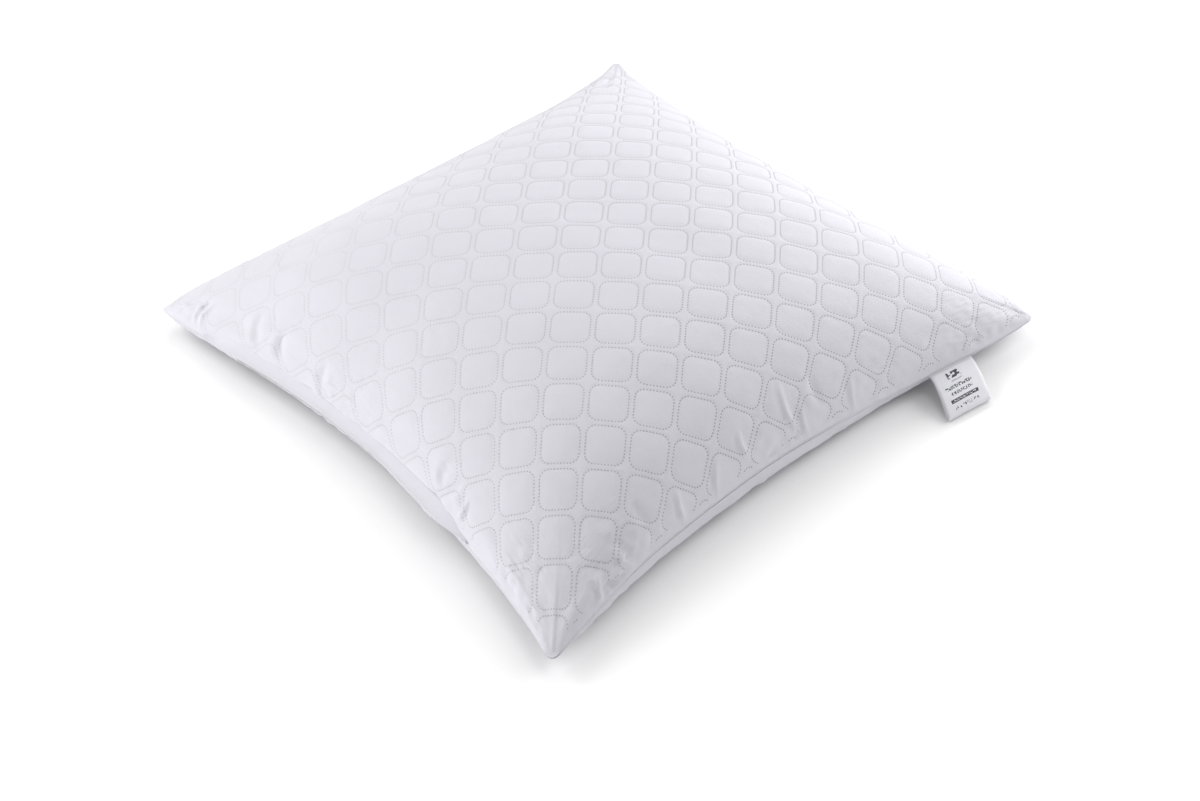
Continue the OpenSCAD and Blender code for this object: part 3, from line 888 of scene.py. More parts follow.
@dataclass
class QuiltedPanel:
    """One face of the cover: a closed quilted shell whose rim turns in at the seam."""

    cover: InflatedCover
    lattice: QuiltLattice
    wrinkles: Wrinkles
    face: Face
    cells: int
    closing: int = 8                 # fine cells to one cell of the shell's inner side
    thickness: float = 4.5 * MM
    rim_gap: float = 0.22 * MM
    rim_in: float = 1.2 * MM
    slack: tuple[float, float] = (-0.42, 0.12)
    inner_in: float = 12.0 * MM
    floor_gap: float = 0.3 * MM

    def build(self, material: bpy.types.Material) -> bpy.types.Object:
        """Makes the panel.

        Args:
            material: The face fabric.

        Returns:
            The panel, with its flat UV map and its welded-line number.
        """
        upper = self.face is Face.UPPER
        half = self.cover.form.half
        axis = np.linspace(-1.0, 1.0, self.cells + 1)
        u, v = np.meshgrid(axis, axis, indexing="ij")
        sharp = self.cover.surface(self.face, axis, axis)
        base, flat_x, flat_y = self.with_round_corners(sharp, axis, u, v)
        step_u, step_v = np.gradient(base, axis=0), np.gradient(base, axis=1)
        normal = np.cross(step_u, step_v) * (1.0 if upper else -1.0)
        normal /= np.maximum(np.linalg.norm(normal, axis=-1, keepdims=True), 1e-9)
        edge = half * (1.0 - np.maximum(np.abs(u), np.abs(v)))
        quilt, weld = self.lattice.relief(flat_x, flat_y)
        quilt *= 0.45 + 0.55 * smooth_step(*self.slack, flat_x + flat_y)
        fade = smooth_step(0.0, 0.014, edge)
        height = quilt * fade + self.wrinkles.relief(flat_x, flat_y)
        height *= smooth_step(0.0, 0.004, edge)
        points = base + normal * height[..., None]
        up = 1.0 if upper else -1.0
        points[..., 2] += up * self.rim_gap * (1.0 - smooth_step(0.0, 0.012, edge))
        points[..., 2] = np.maximum(points[..., 2], self.floor_gap)
        count = self.cells + 1
        rim = rim_numbers(count)
        outer = points.reshape(-1, 3)
        middle = outer[rim].copy()
        ring_u, ring_v = self.cover.form.rounded(u.ravel()[rim], v.ravel()[rim])
        inward = resampled(sharp, ring_u * (1 - self.rim_in / half), ring_v * (1 - self.rim_in / half))
        middle = 0.5 * middle + 0.5 * inward
        middle[:, 2] = outer[rim][:, 2] - up * self.rim_gap * 0.7
        small = self.cells // self.closing + 1
        small_axis = np.linspace(-1.0, 1.0, small) * (1 - self.inner_in / half)
        inner = self.cover.beneath(self.face, small_axis, small_axis, self.thickness).reshape(-1, 3)
        faces = grid_faces(count, count, flip=not upper)
        ring_start = len(outer)
        inner_start = ring_start + len(rim)
        faces += grid_faces(small, small, inner_start, flip=upper)
        faces += self.rim_faces(rim, ring_start, inner_start, small, upper)
        flat = np.stack([flat_x, flat_y], -1).reshape(-1, 2) / self.cover.form.side + 0.5
        small_flat = np.stack(np.meshgrid(small_axis, small_axis, indexing="ij"), -1).reshape(-1, 2) / 2 + 0.5
        panel = new_mesh_object(f"{self.face.prefix}_face_panel", np.concatenate([outer, middle, inner]),
                                faces, material, np.concatenate([flat, flat[rim], small_flat]))
        added = np.zeros(len(rim) + len(inner))
        # the welded-line number, which also sets the painted groove shade in the fabric
        add_number(panel, "weld", np.concatenate([(weld * fade).ravel(), added]))
        return panel

    def with_round_corners(self, sharp: Grid, axis: Grid, u: Grid, v: Grid) -> tuple[Grid, Grid, Grid]:
        """Rounds the corners, where the two panels then meet halfway.

        Args:
            sharp: The panel's points up to its sharp corners.
            axis: The parameters along one side.
            u: The first parameter at each point.
            v: The second parameter at each point.

        Returns:
            The points, and their two flat coordinates.
        """
        form = self.cover.form
        other = self.cover.surface(self.face.other, axis, axis)
        layers = np.concatenate([sharp, other, np.stack(self.flat_coordinates(sharp), -1)], -1)
        layers = resampled(layers, *form.rounded(u, v))
        s, t = form.corner_shares(u, v)
        meet = smooth_step(0.0, 0.5, np.minimum(s, t)) * smooth_step(0.3, 1.0, np.maximum(s, t))
        base = layers[..., :3] + (layers[..., 3:6] - layers[..., :3]) / 2.0 * meet[..., None]
        return base, layers[..., 6], layers[..., 7]

    @staticmethod
    def flat_coordinates(base: Grid) -> tuple[Grid, Grid]:
        """Each point's place on the cut panel, from lengths along the surface both ways."""
        place = []
        for axis in (0, 1):
            step = np.linalg.norm(np.diff(base, axis=axis), axis=-1)
            start = np.zeros_like(np.take(step, [0], axis=axis))
            length = np.concatenate([start, np.cumsum(step, axis=axis)], axis)
            whole = np.take(length, [-1], axis=axis)
            place.append((length / whole - 0.5) * PillowForm.side)
        return place[0], place[1]

    def rim_faces(self, rim: Grid, ring: int, inner: int, small: int, upper: bool) -> list[tuple[int, ...]]:
        """The turned-in rim and the faces that join it to the shell's inner side."""
        count = len(rim)
        faces: list[tuple[int, ...]] = []
        for k in range(count):
            n = (k + 1) % count
            quad = (int(rim[k]), ring + k, ring + n, int(rim[n]))
            faces.append(quad if upper else quad[::-1])
        coarse = rim_numbers(small)
        for k, number in enumerate(coarse):
            after = int(coarse[(k + 1) % len(coarse)])
            fine = [ring + (k * self.closing + s) % count for s in range(self.closing + 1)]
            loop = (*fine[::-1], inner + int(number), inner + after)
            faces.append(loop if upper else loop[::-1])
        return faces


@dataclass
class HiddenLayer:
    """A closed layer under one panel: wadding, backing or the inner pillow's casing."""

    cover: InflatedCover
    face: Face
    name: str
    node: str
    slot: str
    outer_depth: float
    inner_depth: float
    inset: float
    cells: int = 40

    def build(self, material: bpy.types.Material) -> bpy.types.Object:
        """Makes the layer."""
        axis = np.linspace(-1.0, 1.0, self.cells + 1) * (1.0 - self.inset / self.cover.form.half)
        outer = self.cover.beneath(self.face, axis, axis, self.outer_depth)
        inner = self.cover.beneath(self.face, axis, axis, self.inner_depth)
        if self.face is Face.LOWER:
            outer, inner = inner, outer
        return closed_between(self.name, outer, inner, material)


def closed_between(name: str, above: Grid, below: Grid, material: bpy.types.Material) -> bpy.types.Object:
    """A closed solid between two grids of points.

    Args:
        name: The piece's name.
        above: The upper grid.
        below: The lower grid.
        material: The finish.

    Returns:
        The solid.
    """
    count = above.shape[0]
    rim = rim_numbers(count)
    start = count * count
    faces = grid_faces(count, count) + grid_faces(count, count, start, flip=True)
    for k, number in enumerate(rim):
        after = int(rim[(k + 1) % len(rim)])
        faces.append((int(number), start + int(number), start + after, after))
    points = np.concatenate([above.reshape(-1, 3), below.reshape(-1, 3)])
    return new_mesh_object(name, points, faces, material)


# ---------------------------------------------------------------------------------------------
# What repeats: welded dots, stitches and zip teeth
# ---------------------------------------------------------------------------------------------
class RepeatTree:
    """A geometry node tree with named inputs."""

    def __init__(self, name: str, inputs: Iterable[tuple[str, str]]) -> None:
        """Makes the tree.

        Args:
            name: The tree's name.
            inputs: Each input's name and socket type, after the geometry.
        """
        self.tree = bpy.data.node_groups.new(name, "GeometryNodeTree")
        self.sockets: dict[str, str] = {}
        self.tree.interface.new_socket("Geometry", in_out="INPUT", socket_type="NodeSocketGeometry")
        for label, kind in inputs:
            socket = self.tree.interface.new_socket(label, in_out="INPUT", socket_type=kind)
            self.sockets[label] = socket.identifier
        self.tree.interface.new_socket("Geometry", in_out="OUTPUT", socket_type="NodeSocketGeometry")
        self.bench = NodeBench(self.tree)
        self.start = self.bench.add("NodeGroupInput")

    def value(self, label: str) -> bpy.types.NodeSocket:
        """The socket that carries one named input."""
        return self.start.outputs[label]

    def finish(self, geometry: bpy.types.NodeSocket) -> None:
        """Realises the instances, sets their material and ends the tree."""
        real = self.bench.add("GeometryNodeRealizeInstances", {"Geometry": geometry}).outputs["Geometry"]
        look = {"Geometry": real, "Material": self.value("Material")}
        dressed = self.bench.add("GeometryNodeSetMaterial", look).outputs["Geometry"]
        self.bench.add("NodeGroupOutput", {"Geometry": dressed})

    def run(self, source: bpy.types.Object, name: str, values: dict[str, Any]) -> bpy.types.Object:
        """Applies the tree to a copy of an object and returns the plain result.

        Args:
            source: The object whose mesh goes in.
            name: The new piece's name.
            values: The inputs by name.

        Returns:
            The new piece.
        """
        carrier = bpy.data.objects.new(name + "_carrier", source.data.copy())
        bpy.context.scene.collection.objects.link(carrier)
        modifier = carrier.modifiers.new("repeat", "NODES")
        modifier.node_group = self.tree
        for label, value in values.items():
            modifier[self.sockets[label]] = value
        return baked(carrier, name)


def named_number(bench: NodeBench, name: str, kind: str = "FLOAT") -> bpy.types.NodeSocket:
    """The socket that reads a named attribute."""
    return bench.add("GeometryNodeInputNamedAttribute", {"Name": name}, data_type=kind).outputs[0]


def weld_dot_tree() -> RepeatTree:
    """The tree that sets a small dish at every weld point of the quilt."""
    tree = RepeatTree("welded_dots", [
        ("Dot", "NodeSocketObject"), ("Pitch", "NodeSocketFloat"), ("Gap", "NodeSocketFloat"),
        ("Corner", "NodeSocketFloat"), ("Spacing", "NodeSocketFloat"), ("Turn", "NodeSocketVector"),
        ("Origin", "NodeSocketVector"), ("Cells", "NodeSocketInt"), ("Side", "NodeSocketFloat"),
        ("Margin", "NodeSocketFloat"), ("Material", "NodeSocketMaterial")])
    b = tree.bench
    width = b.math("SUBTRACT", tree.value("Pitch"), tree.value("Gap"))
    outline = b.add("GeometryNodeCurvePrimitiveQuadrilateral", {"Width": width, "Height": width}).outputs[0]
    rounded = b.add("GeometryNodeFilletCurve", {"Curve": outline, "Radius": tree.value("Corner"), "Count": 8},
                    mode="POLY").outputs[0]
    evenly = b.add("GeometryNodeResampleCurve", {"Curve": rounded, "Length": tree.value("Spacing")},
                   mode="LENGTH").outputs[0]
    one_cell = b.add("GeometryNodeCurveToMesh", {"Curve": evenly}).outputs[0]
    reach = b.math("MULTIPLY", tree.value("Pitch"), b.math("SUBTRACT", tree.value("Cells"), 1.0))
    centres = b.add("GeometryNodeMeshGrid", {
        "Size X": reach, "Size Y": reach, "Vertices X": tree.value("Cells"),
        "Vertices Y": tree.value("Cells")}).outputs[0]
    cells = b.add("GeometryNodeInstanceOnPoints", {"Points": centres, "Instance": one_cell}).outputs[0]
    cells = b.add("GeometryNodeRealizeInstances", {"Geometry": cells}).outputs[0]
    turned = b.add("GeometryNodeTransform", {
        "Geometry": cells, "Translation": tree.value("Origin"), "Rotation": tree.value("Turn")}).outputs[0]
    dots = b.add("GeometryNodeMeshToPoints", {"Mesh": turned}).outputs[0]
    where = b.add("GeometryNodeInputPosition").outputs[0]
    sides = b.add("ShaderNodeCombineXYZ", {0: tree.value("Side"), 1: tree.value("Side"), 2: 1.0}).outputs[0]
    centred = b.vector("ADD", b.vector("DIVIDE", where, sides), (0.5, 0.5, 0.0))
    flat = named_number(b, "flat", "FLOAT_VECTOR")
    panel = b.add("GeometryNodeDeleteGeometry", {
        "Geometry": tree.value("Geometry"),
        "Selection": b.math("LESS_THAN", named_number(b, "outer"), 0.5)}, domain="POINT").outputs[0]
    readings = []
    for source in ("GeometryNodeInputPosition", "GeometryNodeInputNormal"):
        readings.append(b.add("GeometryNodeSampleUVSurface", {
            "Mesh": panel, "Value": b.add(source).outputs[0], "UV Map": flat, "Sample UV": centred},
            data_type="FLOAT_VECTOR"))
    split = b.add("ShaderNodeSeparateXYZ", {0: b.vector("ABSOLUTE", where)})
    far = b.math("MAXIMUM", split.outputs[0], split.outputs[1])
    limit = b.math("SUBTRACT", b.math("MULTIPLY", tree.value("Side"), 0.5), tree.value("Margin"))
    keep = b.math("MULTIPLY", readings[0].outputs["Is Valid"], b.math("LESS_THAN", far, limit))
    for label, kind, value in (("keep", "FLOAT", keep),
                               ("seat", "FLOAT_VECTOR", readings[0].outputs["Value"]),
                               ("lean", "FLOAT_VECTOR", readings[1].outputs["Value"])):
        dots = b.add("GeometryNodeStoreNamedAttribute", {"Geometry": dots, "Name": label, "Value": value},
                     data_type=kind, domain="POINT").outputs[0]
    drop = b.math("LESS_THAN", named_number(b, "keep"), 0.5)
    dots = b.add("GeometryNodeDeleteGeometry", {"Geometry": dots, "Selection": drop},
                 domain="POINT").outputs[0]
    seat = named_number(b, "seat", "FLOAT_VECTOR")
    dots = b.add("GeometryNodeSetPosition", {"Geometry": dots, "Position": seat}).outputs[0]
    lean = named_number(b, "lean", "FLOAT_VECTOR")
    turn = b.add("FunctionNodeAlignRotationToVector", {"Vector": lean}, axis="Z").outputs[0]
    dish = b.add("GeometryNodeObjectInfo", {"Object": tree.value("Dot")}).outputs["Geometry"]
    placed = b.add("GeometryNodeInstanceOnPoints", {
        "Points": dots, "Instance": dish, "Rotation": turn}).outputs[0]
    for label in ("keep", "seat", "lean"):
        placed = b.add("GeometryNodeRemoveAttribute", {"Geometry": placed, "Name": label}).outputs[0]
    tree.finish(placed)
    return tree


def path_row_tree() -> RepeatTree:
    """The tree that sets one small piece after another along a path, its own X along the path."""
    tree = RepeatTree("row_along_path", [
        ("Piece", "NodeSocketObject"), ("Spacing", "NodeSocketFloat"), ("Material", "NodeSocketMaterial")])
    b = tree.bench
    curve = b.add("GeometryNodeMeshToCurve", {"Mesh": tree.value("Geometry")}).outputs[0]
    evenly = b.add("GeometryNodeResampleCurve", {"Curve": curve, "Length": tree.value("Spacing")},
                   mode="LENGTH")
    tangent = b.add("GeometryNodeInputTangent").outputs[0]
    piece = b.add("GeometryNodeObjectInfo", {"Object": tree.value("Piece")}).outputs["Geometry"]
    turn = b.add("FunctionNodeAlignRotationToVector", {"Vector": tangent}, axis="X",
                 pivot_axis="Z").outputs[0]
    placed = b.add("GeometryNodeInstanceOnPoints", {
        "Points": evenly.outputs[0], "Instance": piece, "Rotation": turn}).outputs[0]
    tree.finish(placed)
    return tree


def path_object(name: str, points: Grid) -> bpy.types.Object:
    """A mesh of edges through the points, for a row to follow."""
    mesh = bpy.data.meshes.new(name)
    edges = [(k, k + 1) for k in range(len(points) - 1)]
    mesh.from_pydata(np.asarray(points).tolist(), edges, [])
    path = bpy.data.objects.new(name, mesh)
    bpy.context.scene.collection.objects.link(path)
    return path


@dataclass
class WeldDots:
    """The rows of weld points along every cell's outline."""

    lattice: QuiltLattice
    margin: float
    spacing: float = 3.35 * MM
    radius: float = 0.80 * MM
    rim_height: float = 0.30 * MM
    pit: float = -0.05 * MM
    sides: int = 6
    cells: int = 29

    def dish(self) -> bpy.types.Object:
        """One weld point: a raised rim round a pit, open below, where the fabric closes it."""
        angle = np.arange(self.sides) * math.tau / self.sides
        circle = np.stack([np.cos(angle), np.sin(angle), np.zeros_like(angle)], -1)
        foot = circle * self.radius * 1.35 - [0.0, 0.0, 0.14 * MM]
        crest = circle * self.radius + [0.0, 0.0, self.rim_height]
        points = np.concatenate([foot, crest, [[0.0, 0.0, self.pit]]])
        n = self.sides
        faces = [(k, (k + 1) % n, n + (k + 1) % n, n + k) for k in range(n)]
        faces += [(n + k, n + (k + 1) % n, 2 * n) for k in range(n)]
        shape = new_mesh_object("weld_dot_shape", points, faces)
        # share of the painted pit shade: none at the foot, a quarter at the crest, all at the centre
        add_number(shape, "pit", np.concatenate([np.zeros(n), np.full(n, 0.25), [1.0]]))
        return shape

    def build(self, tree: RepeatTree, panel: bpy.types.Object, name: str,
              material: bpy.types.Material) -> bpy.types.Object:
        """Sets the dots on a panel."""
        shape = self.dish()
        half_cell = self.lattice.pitch / 2.0
        cos, sin = math.cos(self.lattice.turn), math.sin(self.lattice.turn)
        origin = (self.lattice.origin[0] + half_cell * (cos + sin),
                  self.lattice.origin[1] + half_cell * (sin - cos), 0.0)
        dots = tree.run(panel, name, {
            "Dot": shape, "Pitch": self.lattice.pitch, "Gap": self.lattice.gap,
            "Corner": self.lattice.corner, "Spacing": self.spacing, "Turn": (0.0, 0.0, self.lattice.turn),
            "Origin": origin, "Cells": self.cells, "Side": PillowForm.side, "Margin": self.margin,
            "Material": material})
        remove_object(shape)
        return dots


@dataclass
class ThreadStitch:
    """One visible stitch: a short bulging thread."""

    length: float = 2.6 * MM
    radius: float = 0.25 * MM

    def build(self) -> bpy.types.Object:
        """The stitch's mesh, along its own X."""
        rings = []
        for share, width in ((-0.5, 0.35), (-0.25, 1.0), (0.25, 1.0), (0.5, 0.35)):
            angle = np.arange(5) * math.tau / 5
            rings.append(np.stack([np.full(5, share * self.length), np.cos(angle) * self.radius * width,
                                   np.sin(angle) * self.radius * width], -1))
        points, faces = closed_sweep([r[::-1] for r in rings])
        return new_mesh_object("stitch_shape", points, faces)


# ---------------------------------------------------------------------------------------------
# The edge: seam band, zip and lip
# ---------------------------------------------------------------------------------------------
@dataclass
class EdgeSeam:
    """The seam allowance between the panels' rims, open along the zip."""

    cover: InflatedCover
    width: float = 10.0 * MM
    thickness: float = 0.7 * MM
    setback: float = -0.35 * MM

    def rim_point(self, u: float, v: float, inset: float) -> np.ndarray:
        """A point of the seam at a distance in from the edge."""
        form = self.cover.form
        k = 1.0 - inset / form.half
        x, y = form.plan(*form.rounded(np.array(u * k), np.array(v * k)))
        return np.array([float(x), float(y), float(form.seam_z(np.array(u * k), np.array(v * k)))])

    def route(self, start: float, stop: float, steps: int = 120) -> list[tuple[float, float]]:
        """Parameters once round the edge, from u = start on the front edge back to u = stop."""
        line = np.linspace(-1.0, 1.0, steps + 1)
        route = [(u, -1.0) for u in np.linspace(start, 1.0, steps // 2)]
        route += [(1.0, v) for v in line[1:]]
        route += [(-u, 1.0) for u in line[1:]]
        route += [(-1.0, -v) for v in line[1:]]
        route += [(u, -1.0) for u in np.linspace(-1.0, stop, steps // 2)[1:]]
        return route

    def build(self, start: float, stop: float, material: bpy.types.Material) -> bpy.types.Object:
        """Makes the band as a closed solid with a rounded outer edge."""
        rings = []
        half_t = self.thickness / 2.0
        for u, v in self.route(start, stop):
            edge = self.rim_point(u, v, self.setback)
            inner = self.rim_point(u, v, self.width)
            lift = np.array([0.0, 0.0, half_t])
            soft = edge + (inner - edge) * 0.05
            rings.append(np.array([inner - lift, soft - lift, edge, soft + lift, inner + lift]))
        points, faces = closed_sweep([r[::-1] for r in rings])
        return new_mesh_object("edge_seam_band", points, faces, material)


@dataclass
class HiddenZip:
    """The zip along the front edge, in the arc that the edge follows."""

    cover: InflatedCover
    length: float = 0.340
    shift: float = -0.035
    stop_length: float = 3.0 * MM
    coil_width: float = 2.0 * MM
    coil_depth: float = 1.6 * MM
    coil_back: float = -1.6 * MM
    tooth_pitch: float = 1.25 * MM
    lip_width: float = 8.7 * MM
    lip_thickness: float = 1.0 * MM
    lip_over: float = 52.0 * MM
    lip_rise: float = 11.0 * MM
    lip_narrow: float = 6.0 * MM
    lip_taper: float = 52.0 * MM
    lip_lift: float = 2.0 * MM

    @property
    def first(self) -> float:
        """The x of the zip's left end."""
        return self.shift - self.length / 2.0

    @property
    def last(self) -> float:
        """The x of the zip's right end."""
        return self.shift + self.length / 2.0

    def on_arc(self, x: Grid, outward: Grid | float, z: Grid | float) -> Grid:
        """Points beside the zip's arc, at a distance outward from the edge and a height over the seam."""
        form = self.cover.form
        turn = np.arcsin(x / form.arc_radius)
        reach = form.arc_radius - np.asarray(outward)
        centre = form.pull_front - form.half - form.arc_radius
        shape = np.broadcast(turn, reach).shape
        return np.stack([reach * np.sin(turn), reach * np.cos(turn) + centre,
                         np.broadcast_to(form.seam_h + np.asarray(z, float), shape)], -1)

    def tooth(self) -> bpy.types.Object:
        """One turn of the coil: a small loop round the row's section."""
        thick = 0.42 * MM
        half_d, half_w = self.coil_depth / 2.0, self.coil_width / 2.0
        angle = np.arange(8) * math.tau / 8
        points = []
        for x, size in ((-thick, 0.72), (0.0, 1.0), (thick, 0.72)):
            points.append(np.stack([
                np.full(8, x), np.cos(angle) * half_d * size, np.sin(angle) * half_w * size], -1))
        ring, faces = closed_sweep([p[::-1] for p in points])
        return new_mesh_object("zip_tooth_shape", ring, faces)

    def coil(self, tree: RepeatTree, upper: bool, material: bpy.types.Material) -> bpy.types.Object:
        """One row of the coil."""
        side = 1.0 if upper else -1.0
        x = np.linspace(self.first + self.stop_length + 0.0008, self.last - self.stop_length - 0.0008, 80)
        height = side * (self.coil_width / 2.0 + 0.05 * MM)
        path = path_object("coil_path", self.on_arc(x, -self.coil_back + self.coil_depth / 2.0, height))
        shape = self.tooth()
        name = "zip_coil_upper_teeth" if upper else "zip_coil_lower_teeth"
        row = tree.run(path, name, {"Piece": shape, "Spacing": self.tooth_pitch, "Material": material})
        remove_object(path)
        remove_object(shape)
        return row

    def lip_rings(self, steps: int = 96) -> Grid:
        """The lip's section at each step along the zip: root, underside, fold, top side and root again."""
        wave = Waves(41, 0.03, 0.11)
        x = np.linspace(self.first - self.lip_over, self.last + self.lip_over, steps)
        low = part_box("zip_lip")[0][2] - self.cover.form.seam_h
        v = np.linspace(-1.0, -0.90, 40)
        column = self.cover.surface(Face.UPPER, x / self.cover.form.half, v)
        rings = []
        for k, here in enumerate(x):
            ends = float(smooth_step(0.0, self.lip_taper, np.array(min(here - x[0], x[-1] - here))))
            z0 = low + 0.1 * MM + 0.35 * MM * float(wave(np.array(here), np.array(0.0)))
            z1 = z0 + self.lip_thickness * 0.7
            root_z = self.cover.form.seam_h + low + np.array([0.3 * MM, 1.0 * MM + self.lip_rise * ends])
            rise = np.maximum.accumulate(column[k, :, 2])
            root = np.stack([np.interp(root_z, rise, column[k, :, c]) for c in range(3)], -1)
            slider = float(smooth_step(self.last - 110.0 * MM, self.last - 34.0 * MM, np.array(here)))
            broad = self.lip_narrow + (self.lip_width - self.lip_narrow) * slider
            out = 0.8 * MM + (broad - 0.8 * MM) * ends
            z0 += self.lip_lift * (1.0 - slider) * ends
            z1 += self.lip_lift * (1.0 - slider) * ends
            tip = self.on_arc(np.full(3, here), np.array([out - 0.5 * MM, out, out - 0.5 * MM]),
                              np.array([z0, (z0 + z1) / 2, z1]))
            under = self.on_arc(np.full(1, here), np.array([out * 0.45]), np.array([z0 + 0.2 * MM]))[0]
            top = [share * root[1] + (1.0 - share) * tip[2] - [0.0, 0.0, sag * MM * ends]
                   for share, sag in ((0.15, 0.6), (0.5, 1.2), (0.9, 0.3))]
            hidden = root[1] + [0.0, 1.6 * MM, 0.6 * MM]
            rings.append(np.array([root[0] + [0.0, 1.0 * MM, 0.0], under, *tip, *top, hidden]))
        return np.array(rings)

    def lip(self, material: bpy.types.Material) -> bpy.types.Object:
        """The folded lip that covers the zip, from the upper panel's flank to its rounded outer fold."""
        points, faces = closed_sweep([ring[::-1] for ring in self.lip_rings()])
        uv = points[:, :2] / self.cover.form.side + 0.5
        piece = new_mesh_object("zip_lip_welt", points, faces, material, uv)
        add_number(piece, "weld", np.zeros(len(points)))
        return piece

    def lip_stitches(self, tree: RepeatTree, material: bpy.types.Material) -> bpy.types.Object:
        """The row of stitches that holds the lip's fold."""
        rings = self.lip_rings()[10:-10]
        path = path_object("lip_path", rings[:, 5] + [0.0, -0.04 * MM, 0.08 * MM])
        shape = ThreadStitch().build()
        row = tree.run(path, "zip_lip_stitches", {"Piece": shape, "Spacing": 3.4 * MM, "Material": material})
        remove_object(path)
        remove_object(shape)
        return row


def bevelled_node(node: str, name: str, width: float, material: bpy.types.Material) -> bpy.types.Object:
    """A copy of a CAD node with softened edges.

    Args:
        node: The CAD node.
        name: The new piece's name.
        width: The bevel's width.
        material: The finish.

    Returns:
        The new piece.
    """
    piece = bpy.data.objects.new(name + "_rough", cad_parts[node].data.copy())
    bpy.context.scene.collection.objects.link(piece)
    weld = piece.modifiers.new("weld", "WELD")
    weld.merge_threshold = 0.005 * MM
    bevel = piece.modifiers.new("bevel", "BEVEL")
    bevel.width = width
    bevel.segments = 2
    bevel.limit_method = "ANGLE"
    bevel.angle_limit = math.radians(40.0)
    result = baked(piece, name)
    result.data.materials.clear()
    result.data.materials.append(material)
    return result


# ---------------------------------------------------------------------------------------------
# The label
# ---------------------------------------------------------------------------------------------
@dataclass
class LoopLabel:
    """A ribbon folded to a loop, sewn into the right edge, bending down under its own weight."""

    form: PillowForm
    width: float = 0.056
    length: float = 0.050
    at: float = 0.208
    opening: float = 7.0 * MM
    thickness: float = 0.3 * MM
    hinge_out: float = 1.5 * MM
    root_drop: float = 0.08 * MM
    root_droop: float = math.radians(8.0)
    tip_droop: float = math.radians(38.0)
    skew: float = 13.5 * MM
    sway: float = 0.8 * MM
    along: int = 22
    across: int = 14

    def frame_at_root(self) -> Matrix:
        """The place of the label's root, with its own X outward and Y along the edge."""
        share = self.at / self.form.half
        x = self.form.half - self.form.pull_right * (1.0 - share ** 2)
        turn = -math.atan(2.0 * self.form.pull_right * share / self.form.half)
        z = (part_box("label_tail")[0][2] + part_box("label_tail")[1][2]) / 2.0 - self.root_drop
        return Matrix.Translation((x, self.at, z)) @ Matrix.Rotation(turn, 4, "Z")

    def centre_line(self) -> tuple[Grid, Grid]:
        """Points along the leaf in its own XZ plane, and the leaf's slope at each."""
        s = np.linspace(0.0, 1.0, self.along + 1)
        slope = self.root_droop + (self.tip_droop - self.root_droop) * s ** 0.8
        step = (self.length - self.opening / 2.0) / self.along
        middle = (slope[1:] + slope[:-1]) / 2.0
        x = np.concatenate([[0.0], np.cumsum(np.cos(middle) * step)]) + self.hinge_out
        z = -np.concatenate([[0.0], np.cumsum(np.sin(middle) * step)])
        return np.stack([x, z], -1), slope

    def build(self, material: bpy.types.Material) -> bpy.types.Object:
        """Makes the loop with the ribbon's thickness."""
        line, slope = self.centre_line()
        up = np.stack([np.sin(slope), np.cos(slope)], -1)
        share = np.linspace(0.0, 1.0, self.along + 1)
        spread = (self.thickness * 0.6 + (self.opening / 2.0 - self.thickness * 0.6) * share ** 1.5)[:, None]
        upper, lower = line + up * spread, line - up * spread
        out = np.array([math.cos(slope[-1]), -math.sin(slope[-1])])
        turn = np.linspace(math.pi / 2, -math.pi / 2, 10)[1:-1]
        fold = [line[-1] + (out * math.cos(a) + up[-1] * math.sin(a)) * self.opening / 2.0 for a in turn]
        profile = np.concatenate([upper, np.array(fold), lower[::-1]])
        step = np.linalg.norm(np.diff(profile, axis=0), axis=1)
        travelled = np.concatenate([[0.0], np.cumsum(step)])
        leaf = travelled[self.along]
        y = np.linspace(-0.5, 0.5, self.across + 1) * self.width
        root = np.array(self.frame_at_root())
        points, uv = [], []
        for k, (px, pz) in enumerate(profile):
            free = float(np.clip((px - self.hinge_out) / self.length, 0.0, 1.0))
            for here in y:
                dip = self.sway * free * (math.sin(here * 75.0 + 0.6) - 2.2 * (here / self.width) ** 2)
                slid = here - self.skew * free ** 1.2
                points.append(root[:3, :3] @ np.array([px, slid, pz + dip]) + root[:3, 3])
                uv.append((here / self.width + 0.5, travelled[k] / leaf))
        piece = new_mesh_object("label_ribbon_sheet", np.array(points),
                                grid_faces(len(profile), self.across + 1), material, np.array(uv))
        solid = piece.modifiers.new("ribbon", "SOLIDIFY")
        solid.thickness = self.thickness
        solid.offset = 0.0
        return baked(piece, "label_ribbon_loop")


